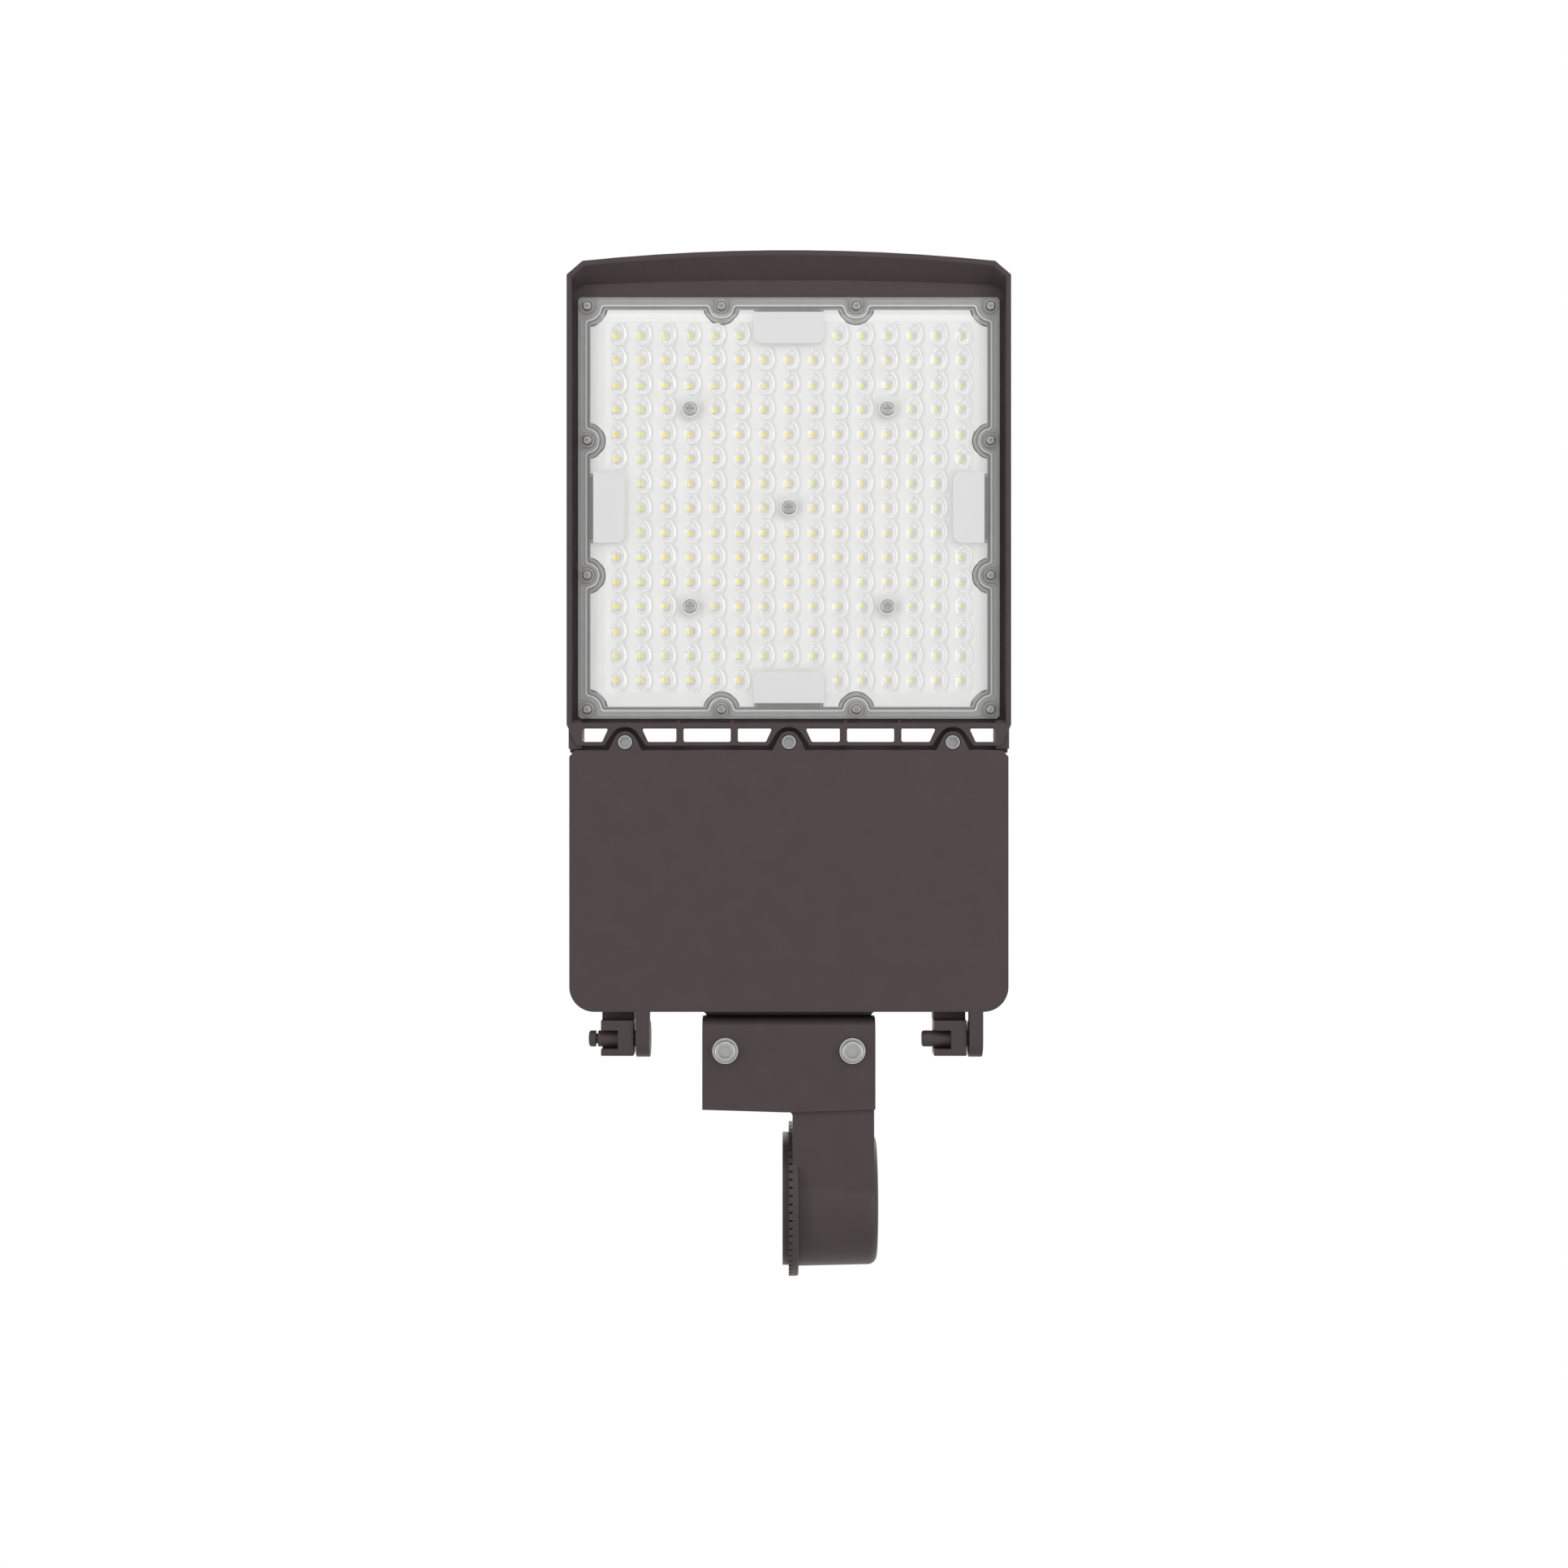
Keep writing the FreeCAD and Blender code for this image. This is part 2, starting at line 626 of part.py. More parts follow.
def head_outline():
    """The head's outline, with its bowed nose as the first side."""
    return [
        (s.nose_corner_run - half_width, nose_end),
        (half_width - s.nose_corner_run, nose_end),
        (half_width, nose_end + s.nose_corner_rise),
        (half_width, strip_rear - s.heel_corner_rise),
        (half_width - s.heel_corner_run, strip_rear),
        (s.heel_corner_run - half_width, strip_rear),
        (-half_width, strip_rear - s.heel_corner_rise),
        (-half_width, nose_end + s.nose_corner_rise),
    ]


INNER_CORNER = 0.8  # the bay's corners against the head's


def bay_outline(front, sagitta, corner_rise):
    """The LED bay's outline at one height: side walls, a bowed front and its two corners."""
    inner = half_width - s.rim_wall
    turn = inner - s.nose_corner_run * INNER_CORNER
    return [
        (-turn, front + sagitta),
        (turn, front + sagitta),
        (inner, front + sagitta + corner_rise),
        (inner, bay_rear),
        (-inner, bay_rear),
        (-inner, front + sagitta + corner_rise),
    ], {0: bow_radius(turn, sagitta)}


def led_bay():
    """The hollow of the LED bay. Its front wall leans back towards the floor."""
    body = doc.addObject("PartDesign::Body", "led_bay")
    front = nose_tip + s.rim_wall
    corner = s.nose_corner_rise * INNER_CORNER
    low_outline, low_arcs = bay_outline(front, s.nose_sagitta, corner)
    high_outline, high_arcs = bay_outline(front + s.slope_run, s.slope_sagitta, s.slope_corner)
    low = sketched(body, "led_bay_mouth", "XY_Plane", low_outline, low_arcs)
    high = sketched(body, "led_bay_floor", "XY_Plane", high_outline, high_arcs)
    bind(low, {"AttachmentOffset.Base.z": rim})
    bind(high, {"AttachmentOffset.Base.z": bay_floor})
    loft = body.newObject("PartDesign::AdditiveLoft", "led_bay_loft")
    loft.Profile = low
    loft.Sections = [high]
    loft.Ruled = True
    return body


def slot_cutters():
    """The eight air slots. An end beside an ear leans with the ear's arch."""
    half_mullion = s.mullion_width / 2
    slots = []
    for side in (-1, 1):
        ends = [
            # front and back place of the end nearer the middle, then of the outer end
            (s.slot_near, s.slot_far, s.mullion_inner - half_mullion, s.mullion_inner - half_mullion),
            (s.mullion_inner + half_mullion,) * 2 + (s.mullion_outer - half_mullion,) * 2,
            (s.mullion_outer + half_mullion,) * 2 + (s.ear_pitch - s.slot_near, s.ear_pitch - s.slot_far),
            (s.ear_pitch + s.slot_near, s.ear_pitch + s.slot_far, slot_end, slot_end),
        ]
        for number, (in_front, in_back, out_front, out_back) in enumerate(ends, 1):
            outline = [
                (side * in_front, slot_front),
                (side * out_front, slot_front),
                (side * out_back, slot_rear),
                (side * in_back, slot_rear),
            ]
            if side < 0:
                outline.reverse()
            name = "air_slot_%s_%d" % ("left" if side < 0 else "right", number)
            slot = prism(name, "XY_Plane", outline, rim - 1, above(s.strip_thickness) + 1)
            slots.append(rounded(name + "_round", slot, s.slot_round, upright))
    return slots


def ear_outline(x, radius, base, rear):
    """The root of a round-nosed ear. Its flanks leave the tip's circle 30 degrees below the middle."""
    lift = radius * 0.5
    reach = radius * math.cos(math.radians(30))
    return [
        (x - reach, ear_row - lift),
        (x + reach, ear_row - lift),
        (x + base, rear),
        (x - base, rear),
    ]


def ear(name, x, radius, base, rear, low, high):
    """A solid ear: a round tip fused to a widening root."""
    root = prism(name + "_root", "XY_Plane", ear_outline(x, radius, base, rear), low, high)
    tip = rod(name + "_tip", radius, "Z", (x, ear_row, low), high - low)
    return fuse(name, [root, tip])


def fins():
    """The cooling fins, cut to one falling profile."""
    outer = half_width - s.fin_margin
    count = int(s.fin_count.number)
    plates = []
    for i in range(count):
        x = -outer + outer * 2 * (i / (count - 1))
        y = (nose_end + s.nose_corner_rise + s.fin_setback / 3, bay_rear)
        plates.append(block("fin_%d" % (i + 1), about(x, s.fin_thickness), y, (base_top - 1, above(s.fin_top))))
    # level over the rear half of the lens, then falling in two steps to the nose
    level_end = bay_rear - lens_half * 1.1
    knee = bay_rear - lens_half * 1.7
    profile = [
        (nose_tip, base_top - 2),
        (bay_rear + 1, base_top - 2),
        (bay_rear + 1, above(s.fin_top)),
        (level_end, above(s.fin_top)),
        (knee, above(s.fin_top) - (s.fin_top - s.fin_nose) * 0.35),
        (nose_end + s.nose_corner_rise + s.fin_setback, above(s.fin_nose)),
        (nose_tip, above(s.fin_nose) - s.fin_toe),
    ]
    envelope = prism("fin_envelope", "YZ_Plane", profile, -half_width, half_width)
    comb = doc.addObject("Part::Common", "fins")
    comb.Base = group("fin_plates", plates)
    comb.Tool = envelope
    return comb


def driver_box():
    """The outside of the driver bay."""
    box = block("driver_box_block", (-cover_half, cover_half), (box_front, box_rear),
                (box_mouth, above(s.box_top)))
    front = rounded(
        "driver_box_front",
        box,
        s.cover_front_corner,
        lambda b: upright(b) and abs(b.YMin - box_front.number) < NEAR,
    )
    sides = rounded(
        "driver_box_sides",
        front,
        s.cover_rear_corner,
        lambda b: upright(b) and abs(b.YMin - box_rear.number) < NEAR,
    )
    return rounded("driver_box", sides, s.box_round, flat_at(above(s.box_top)))


def driver_bay():
    """The hollow of the driver bay."""
    inner = cover_half - s.box_wall
    hollow = block(
        "driver_bay_block",
        (-inner, inner),
        (box_front + s.box_wall, box_rear - s.box_wall),
        (box_mouth - 2, box_ceiling),
    )
    return rounded(
        "driver_bay",
        hollow,
        s.cover_rear_corner - s.box_wall,
        lambda b: upright(b) and abs(b.YMin - (box_rear - s.box_wall).number) < NEAR,
    )


def sill():
    """The ledge at the mouth of the driver bay. It closes the gap in front of the door and its ears."""
    top = box_mouth + s.sill_thickness
    half = cover_half - s.cover_front_corner
    made = [block("sill_ledge", (-half, half), (strip_rear - s.sill_reach, box_front + 1), (box_mouth, top))]
    radius = s.ear_radius + s.arch_gap + s.sill_reach
    base = s.ear_base + s.arch_base_gap + s.sill_reach
    for number, x in enumerate(EARS, 1):
        made.append(ear("sill_arch_%d" % number, x, radius, base, strip_rear + 0.5, box_mouth, top))
    return made


def webs():
    """What joins the two bays across the air gap: side webs and ribs behind the mullions."""
    made = []
    overlap = 1.5
    low_reach = (bay_rear - overlap, box_front - s.web_gap)
    high_reach = (bay_rear - overlap, box_front + overlap)
    low_top = box_mouth + 0.5
    upper_inner = slot_end + s.web_lean
    for side in (-1, 1):
        tag = "left" if side < 0 else "right"
        edge = cover_half + s.web_proud
        for level, inner, reach, low, high in (
            ("low", slot_end, low_reach, above(s.strip_thickness) - 1, above(s.web_depth)),
            ("mid", slot_end, high_reach, box_mouth, above(s.web_depth)),
            ("high", upper_inner, high_reach, above(s.web_depth) - 1, above(s.web_height)),
        ):
            made.append(block("web_%s_%s" % (level, tag), (side * inner, side * edge), reach, (low, high)))
        for number, mullion in enumerate((s.mullion_inner, s.mullion_outer), 1):
            outer = side * (mullion + s.mullion_width / 2)
            inner = outer - side * s.web_rib
            rib = "web_rib_%s_%s_%d"
            low = above(s.strip_thickness) - 1
            made.append(block(rib % ("low", tag, number), (inner, outer), (bay_rear - overlap, strip_rear),
                              (low, low_top)))
            made.append(block(rib % ("high", tag, number), (inner, outer), high_reach,
                              (box_mouth, above(s.web_height))))
    return made


def hinge_block(tag, end):
    """One hinge block with the arm that carries it. It lies on the -X side of its end."""
    x = (end - s.block_length, end)
    body = block(
        "hinge_block_body_" + tag, x,
        (hinge_row - s.block_front, hinge_row + s.block_back),
        (above(s.block_low), above(s.block_high)),
    )
    body = rounded("hinge_block_round_" + tag, body, s.block_round,
                   lambda b: b.XLength > 1 and abs(b.YMin - (hinge_row + s.block_back).number) < NEAR)
    carrier = block(
        "hinge_block_arm_" + tag, x,
        (box_rear - 1, hinge_row - s.block_front + 1),
        (above(s.block_high) - s.hook_arm - 3, above(s.block_high) + 4),
    )
    return fuse("hinge_block_" + tag, [body, carrier])


def hinge_cutters(tag, end):
    """The pin's bore, and the channel that opens downwards at the outer end."""
    start = end - s.block_length
    bore = rod("hinge_bore_" + tag, s.pin_radius + s.pin_gap, "X", (start - 1, hinge_row, hinge_height),
               s.block_length + 2)
    half = s.channel_width / 2
    channel = block(
        "hinge_channel_" + tag, (start - 1, start + s.channel_length),
        (hinge_row - half, hinge_row + half), (above(s.block_low) - 1, hinge_height + s.pin_radius * 0.4),
    )
    return [bore, channel]


def tongue():
    """The hollow ledge that the arm is bolted to, with its two gussets."""
    ledge = block("tongue_ledge", (-tongue_half, tongue_half), (box_rear - 1, -s.tongue_end),
                  (above(s.tongue_base), above(s.tongue_top)))
    ledge = rounded("tongue_cornered", ledge, s.tongue_corner,
                    lambda b: upright(b) and abs(b.YMin + s.tongue_end.number) < NEAR)
    ledge = rounded("tongue_softened", ledge, s.tongue_round,
                    lambda b: abs(b.ZMin - above(s.tongue_top).number) < NEAR and b.YMax > box_rear.number)
    flared = tongue_half + s.gusset_flare
    narrow = tongue_half - 1
    gusset_end = box_rear + s.gusset_depth
    gusset = [
        (-flared, box_rear - 1),
        (flared, box_rear - 1),
        (flared, box_rear),
        (narrow, gusset_end),
        (-narrow, gusset_end),
        (-flared, box_rear),
    ]
    return [ledge, prism("tongue_gusset", "XY_Plane", gusset, above(s.tongue_base) - 5, above(s.tongue_top) - 3)]


def housing():
    """The one-piece die casting."""
    slab = prism("head_slab", "XY_Plane", head_outline(), rim, base_top,
                 {0: bow_radius(half_width - s.nose_corner_run, s.nose_sagitta)})
    slab = rounded(
        "head_slab_round", slab, s.skirt_round,
        lambda b: flat_at(base_top)(b) and b.YMin < strip_rear.number - 1,
    )
    # under the air gap the slab is only the slotted strip
    strip_space = block("strip_space", (-slot_end, slot_end), (slot_front, strip_rear + 1),
                        (above(s.strip_thickness), base_top + 1))
    head = cut("head", slab, [led_bay(), strip_space] + slot_cutters())
    ears = []
    bosses = []
    for number, x in enumerate(EARS, 1):
        arch = s.ear_radius + s.arch_gap
        ears.append(ear("ear_arch_%d" % number, x, arch, s.ear_base + s.arch_base_gap, strip_rear + 0.5,
                        rim - 1, above(s.strip_thickness) + 1))
        bosses.append(rod("door_boss_%d" % number, s.ear_radius, "Z", (x, ear_row, box_mouth),
                          above(s.boss_top) - box_mouth))
        bosses.append(block("door_boss_root_%d" % number, about(x, s.ear_radius * 2),
                            (ear_row, box_front + 1), (box_mouth, above(s.boss_top))))
    duct_x = (-s.duct_half, s.duct_half)
    well_half = s.gland_radius + s.gland_flange + s.fit_gap
    duct = block("lead_duct", duct_x, (lead_row - well_half - s.duct_wall, box_front + 1),
                 (duct_base, duct_top))
    well = block("lead_well", duct_x, about(lead_row, (well_half + s.duct_wall) * 2), (base_top - 1, duct_top))
    shell = fuse(
        "housing_shell",
        [cut("head_open", head, ears), fins(), driver_box(), duct, well]
        + webs()
        + sill()
        + bosses
        + tongue()
        + [hinge_block(tag, end) for tag, end in HINGES],
    )
    inner_tongue = tongue_half - s.tongue_wall
    inner_duct = s.duct_half - s.duct_wall
    hollows = [
        driver_bay(),
        block("tongue_hollow", (-inner_tongue, inner_tongue),
              (box_rear - s.box_wall - 1, -s.tongue_end - s.tongue_wall),
              (tongue_floor, above(s.tongue_top) - s.tongue_wall)),
        rod("tongue_wire_hole", s.lead_hole, "Z", (0, -s.lead_hole_at, above(s.tongue_base) - 1),
            s.tongue_wall + 2),
        block("duct_hollow", (-inner_duct, inner_duct), (lead_row - well_half, box_front),
              (duct_base + s.duct_wall, duct_top - s.duct_wall)),
        block("well_hollow", (-inner_duct, inner_duct), about(lead_row, well_half * 2),
              (base_top, duct_top - s.duct_wall)),
        rod("bay_gland_hole", s.gland_radius, "Y", (0, box_front - 1, lead_height), s.box_wall + 2),
        rod("board_gland_hole", s.gland_radius, "Z", (0, lead_row, bay_floor - 1), s.base_thickness + 2),
    ]
    for tag, end in HINGES:
        hollows += hinge_cutters(tag, end)
    hole_end = base_top - s.hole_floor
    hollows += holes("rim_screw_hole", s.rim_shank / 2 + s.thread_gap, RIM_SCREWS, bay_floor - 1, hole_end)
    hollows += holes("field_screw_hole", s.field_shank / 2 + s.thread_gap, FIELD_SCREWS, bay_floor - 1,
                     hole_end)
    hollows += holes("door_screw_hole", s.cover_screw_shank / 2 + s.cover_screw_gap,
                     [(x, ear_row) for x in EARS], box_mouth - 1, box_mouth + s.cover_screw_grip + 2)
    hollows += holes("arm_bolt_hole", s.bolt_shank / 2 + s.bolt_clearance, [(x, -s.bolt_at) for x in BOLTS],
                     above(s.tongue_base) - 1, tongue_floor + 1)
    hollows += holes("bay_screw_hole", s.small_screw / 2 + s.thread_gap, bay_screw_spots(),
                     box_ceiling - 1, box_ceiling + s.small_bite + 0.3)
    return node(cut("housing", shell, hollows))


# ---------------------------------------------------------------- lens and LED board


def tab_places():
    """Middle of each blank tab with its half sizes, from the outer edge inwards."""
    middle = lens_half - s.tab_inset - s.tab_depth / 2
    spots = []
    for side in (-1, 1):
        spots.append((sized(0), lens_middle + side * middle, s.tab_width / 2, s.tab_depth / 2))
        spots.append((side * middle, lens_middle, s.tab_depth / 2, s.tab_width / 2))
    return spots


def lens_plate():
    """The clear plate: flange, dropped field, one optic over each LED and four blank tabs."""
    flange = block("lens_flange", (-lens_half, lens_half), (lens_front, lens_rear),
                   (flange_face, flange_back))
    flange = rounded("lens_flange_round", flange, s.lens_corner, upright)
    field_half = lens_half - s.border - s.screw_inset
    field_y = about(lens_middle, field_half * 2)
    hollow_half = field_half - s.field_wall
    hollow_y = about(lens_middle, hollow_half * 2)
    field = block("lens_field", (-field_half, field_half), field_y, (field_face, flange_back))
    hollow = block("lens_hollow", (-hollow_half, hollow_half), hollow_y, (field_back, flange_back + 1))
    tabs = []
    for number, (x, y, dx, dy) in enumerate(tab_places(), 1):
        tab = block("lens_tab_%d" % number, (x - dx, x + dx), (y - dy, y + dy),
                    (field_face - s.tab_height, field_back))
        tabs.append(rounded("lens_tab_round_%d" % number, tab, s.tab_round, upright))
    plate = cut("lens_plate_open", fuse("lens_plate_solid", [flange, field] + tabs), [hollow])
    plate = cut(
        "lens_plate_drilled", plate,
        holes("lens_rim_hole", s.rim_shank / 2 + s.fit_gap, RIM_SCREWS, flange_face - 1, flange_back + 1)
        + holes("lens_field_hole", s.field_shank / 2 + s.fit_gap, FIELD_SCREWS, field_face - 1,
                field_back + 1),
    )
    dome = doc.addObject("Part::Ellipsoid", "dome")
    dome.Angle1 = -90
    dome.Angle2 = 0
    bind(dome, {"Radius1": s.dome_height, "Radius2": s.dome_width / 2, "Radius3": s.dome_length / 2})
    spots = []
    for i, j in led_cells():
        spots.append((i * s.led_pitch + s.dome_shift, lens_middle + j * s.led_pitch, field_face))
    optic = doc.addObject("Part::MultiFuse", "lens_plate")
    optic.Shapes = [plate] + copies("dome", dome, spots)
    optic.Refine = False
    return node(optic)


def bulges(name, gap, low, high):
    """What the gasket's bulges round the rim screws take up, with a gap round it."""
    corner = holes(name + "_corner", s.corner_bulge + gap, CORNER_SCREWS, low, high)
    return corner + holes(name + "_side", s.side_bulge + gap, SIDE_SCREWS, low, high)


def lens_gasket():
    """The seal under the lens flange, bulged round each rim screw."""
    low, high = flange_back, bay_floor
    frame = block("gasket_frame", (-lens_half, lens_half), (lens_front, lens_rear), (low, high))
    frame = rounded("gasket_frame_round", frame, s.lens_corner, upright)
    inner = lens_half - s.border
    window = block("gasket_window", (-inner, inner), about(lens_middle, inner * 2), (low - 1, high + 1))
    ring = cut("gasket_ring", frame, [window])
    lobes = doc.addObject("Part::Common", "gasket_lobes")
    lobes.Base = group("gasket_lobe_rods", bulges("gasket_lobe", 0, low, high))
    lobes.Tool = frame
    whole = fuse("gasket_whole", [ring, lobes])
    return node(cut("lens_gasket", whole,
                    holes("gasket_hole", s.rim_shank / 2 + s.fit_gap, RIM_SCREWS, low - 1, high + 1)))


def led_board():
    """The white board. It is cut back round the gasket's bulges."""
    half = lens_half - s.border - s.fit_gap
    plate = block("board_plate", (-half, half), about(lens_middle, half * 2), (board_face, bay_floor))
    low, high = board_face - 1, bay_floor + 1
    tools = bulges("board_notch", s.fit_gap, low, high)
    tools += holes("board_hole", s.field_shank / 2 + s.fit_gap, FIELD_SCREWS, low, high)
    tools.append(rod("board_lead_hole", s.gland_radius + s.gland_flange + s.fit_gap, "Z", (0, lead_row, low),
                     high - low))
    return node(cut("led_board", plate, tools))


def led_packages():
    """The LED packages, one at each filled grid place."""
    master = block("led_master", (-s.led_size / 2, s.led_size / 2), (-s.led_size / 2, s.led_size / 2),
                   (-s.led_height, 0))
    master = chamfered("led_chamfer", master, 0.3, upright)
    spots = [(i * s.led_pitch, lens_middle + j * s.led_pitch, board_face) for i, j in led_cells()]
    return node(group("led_packages", copies("led", master, spots)))


def pan_screw(name, head, rise, shank, length):
    """A round-headed cross-recess screw. Its head hangs below the origin and its shank stands above."""
    cap = rod(name + "_cap", head / 2, "Z", (0, 0, -rise), rise)
    cap = rounded(name + "_dome", cap, rise * 0.55, lambda b: abs(b.ZMax + rise.number) < NEAR)
    stem = rod(name + "_stem", shank / 2, "Z", (0, 0, 0), length)
    body = fuse(name + "_body", [cap, stem])
    arm = head * 0.3
    blade = head * 0.1
    deep = (-rise - 1, -rise * 0.35)
    cross = [
        block(name + "_slot_x", (-arm, arm), (-blade / 2, blade / 2), deep),
        block(name + "_slot_y", (-blade / 2, blade / 2), (-arm, arm), deep),
    ]
    return cut(name, body, [fuse(name + "_cross", cross)])


def lens_screws():
    """The screws round and through the lens plate."""
    tip = base_top - s.hole_floor - s.screw_end
    for name, head, shank, face, places in (
        ("lens_rim_screws", s.rim_head, s.rim_shank, flange_face, RIM_SCREWS),
        ("lens_field_screws", s.field_head, s.field_shank, field_face, FIELD_SCREWS),
    ):
        master = pan_screw(name + "_master", head, s.head_rise, shank, tip - face)
        node(group(name, copies(name + "_copy", master, [(x, y, face) for x, y in places])))


# ---------------------------------------------------------------- door


def door_plan(name, inset, low, high):
    """The door's plan, drawn in by an inset, between two heights."""
    half = cover_half - inset
    front, rear = box_front + inset, box_rear - inset
    plate = block(name + "_block", (-half, half), (front, rear), (low, high))
    plate = chamfered(name + "_front", plate, s.cover_front_corner - inset * 0.5,
                      lambda b: upright(b) and abs(b.YMin - front.number) < NEAR)
    return rounded(name, plate, s.cover_rear_corner - inset,
                   lambda b: upright(b) and abs(b.YMin - rear.number) < NEAR)


def door_arm(tag, end):
    """One door arm with the round end that holds a hinge pin."""
    start = end + s.arm_gap
    x = (start, start + s.arm_width)
    eye = rod("door_arm_eye_" + tag, s.arm_radius, "X", (start, hinge_row, hinge_height), s.arm_width)
    bar = block("door_arm_bar_" + tag, x, (box_rear - s.cover_wall, hinge_row), (rim, above(s.cover_depth)))
    return fuse("door_arm_" + tag, [bar, eye])


ear_root = box_front + s.cover_wall / 2


def driver_cover():
    """The door: a shallow tray with three ears in front and two hinge arms behind."""
    ear_top = cover_top + s.seal_height
    tray = door_plan("cover_tray", sized(0), rim, cover_top)
    hollow = door_plan("cover_hollow", s.cover_wall, above(s.cover_skin), cover_top + 1)
    parts = [cut("cover_shell", tray, [hollow])]
    for number, x in enumerate(EARS, 1):
        parts.append(ear("cover_ear_%d" % number, x, s.ear_radius, s.ear_base, ear_root, rim, ear_top))
    parts += [door_arm(tag, end) for tag, end in HINGES]
    solid = fuse("cover_solid", parts)
    spots = [(x, ear_row) for x in EARS]
    tools = holes("cover_screw_seat", s.cover_screw_head / 2 + s.fit_gap, spots, rim - 1,
                  above(s.cover_screw_rise))
    tools += holes("cover_screw_hole", s.cover_screw_shank / 2 + s.fit_gap, spots, rim, box_mouth)
    tools += holes("cover_ring_seat", s.retainer_width / 2 + s.thread_gap, spots,
                   ear_top - s.retainer_height, box_mouth)
    for tag, end in HINGES:
        tools.append(rod("arm_pin_hole_" + tag, s.pin_radius, "X",
                         (end + s.arm_gap, hinge_row, hinge_height), s.arm_width))
    return node(cut("driver_cover", solid, tools))


def cover_gasket():
    """The seal that lies on the door's rim."""
    low = cover_top
    high = low + s.seal_height
    outer = door_plan("seal_outer", s.seal_inset, low, high)
    inner = door_plan("seal_inner", s.cover_wall - s.seal_overhang, low - 1, high + 1)
    tools = [inner]
    for number, x in enumerate(EARS, 1):
        tools.append(ear("seal_notch_%d" % number, x, s.ear_radius + s.notch_gap, s.ear_base + s.notch_gap,
                         ear_root + s.notch_gap, low - 1, high + 1))
    return node(cut("cover_gasket", outer, tools))


def cover_screws():
    """The door's captive screws with a hex socket, and the rings that keep them."""
    head = s.cover_screw_head
    rise = s.cover_screw_rise
    cap = rod("cover_screw_cap", head / 2, "Z", (0, 0, 0), rise)
    cap = rounded("cover_screw_edge", cap, s.cover_screw_round, lambda b: abs(b.ZMax) < NEAR)
    length = box_mouth + s.cover_screw_grip - rim - rise
    stem = rod("cover_screw_stem", s.cover_screw_shank / 2, "Z", (0, 0, rise), length)
    socket = hexagon("cover_screw_hex", s.cover_screw_socket, (0, 0, -1), rise * 0.7 + 1)
    master = cut("cover_screw", fuse("cover_screw_body", [cap, stem]), [socket])
    node(group("cover_screws", copies("cover_screw_copy", master, [(x, ear_row, rim) for x in EARS])))
    outer = rod("retainer_outer", s.retainer_width / 2, "Z", (0, 0, 0), s.retainer_height)
    inner = rod("retainer_inner", s.cover_screw_shank / 2 + s.thread_gap, "Z", (0, 0, -1),
                s.retainer_height + 2)
    ring = cut("retainer", outer, [inner])
    level = cover_top + s.seal_height - s.retainer_height
    node(group("cover_screw_retainers", copies("retainer_copy", ring, [(x, ear_row, level) for x in EARS])))


def hinge_pins():
    """The two lift-off pins, both pointing to -X from the arm that holds them."""
    for (tag, end), beyond in zip(HINGES, (s.left_pin_end, s.right_pin_end)):
        start = end - s.block_length - beyond
        length = end + s.arm_gap + s.arm_width - start
        pin = rod("pin_rod_" + tag, s.pin_radius, "X", (start, hinge_row, hinge_height), length)
        tip = start.number
        name = "hinge_pin_" + tag
        if tag == "right":
            node(rounded(name, pin, s.pin_round, lambda b: abs(b.XMax - tip) < NEAR))
            continue
        pin = rounded("pin_tip_" + tag, pin, s.pin_round, lambda b: abs(b.XMax - tip) < NEAR)
        place_x = start + s.groove_from_end
        around = rod("groove_outer", s.pin_radius + 1, "X", (place_x, hinge_row, hinge_height), s.groove_width)
        core = rod("groove_core", s.groove_radius, "X", (place_x - 1, hinge_row, hinge_height),
                   s.groove_width + 2)
        node(cut(name, pin, [cut("groove", around, [core])]))


# ---------------------------------------------------------------- driver bay contents

driver_x = (-s.driver_length / 2, s.driver_length / 2)
driver_y = (box_front + s.driver_front, box_front + s.driver_front + s.driver_width)
field_line = box_rear - s.field_row
surge_middle = s.terminal_at + s.block_width / 2 + s.module_gap + s.foot_length + s.surge_length / 2


def driver_screw_spots():
    """Plan places of the driver's four fixing screws."""
    spots = []
    for side in (-1, 1):
        for y in (driver_y[0] + s.foot_screw_inset, driver_y[1] - s.foot_screw_inset):
            spots.append((side * (s.driver_length / 2 + s.foot_length / 2), y))
    return spots


def surge_screw_spots():
    """Plan places of the surge module's two fixing screws."""
    reach = s.surge_length / 2 + s.foot_length / 2
    return [(surge_middle - reach, field_line), (surge_middle + reach, field_line)]


def terminal_screw_spots():
    """Plan places of the terminal block's two fixing screws."""
    reach = s.block_width / 2 - s.terminal_screw_inset
    return [(s.terminal_at - reach, field_line), (s.terminal_at + reach, field_line)]


def bay_screw_spots():
    """Plan places of every fixing screw in the driver bay's roof."""
    earth = [(s.ground_at, field_line)]
    return driver_screw_spots() + surge_screw_spots() + terminal_screw_spots() + earth


def footed(name, x, y, height, foot_y, spots):
    """A potted module that hangs from the roof by a foot at each end."""
    top = box_ceiling
    can = block(name + "_can", x, y, (top - height, top))
    can = rounded(name + "_soft", can, s.module_round, upright)
    feet = block(name + "_feet", (x[0] - s.foot_length, x[1] + s.foot_length), foot_y,
                 (top - s.foot_height, top))
    module = fuse(name + "_body", [can, feet])
    return node(cut(name, module, holes(name + "_hole", s.small_screw / 2 + s.fit_gap, spots,
                                        top - s.foot_height - 1, top + 1)))


def roof_screws(name, spots, level):
    """Pan screws that stand in the roof with their heads at one level."""
    length = box_ceiling + s.small_bite - level
    master = pan_screw(name + "_master", s.small_head, s.small_rise, s.small_screw, length)
    return node(group(name, copies(name + "_copy", master, [(x, y, level) for x, y in spots])))


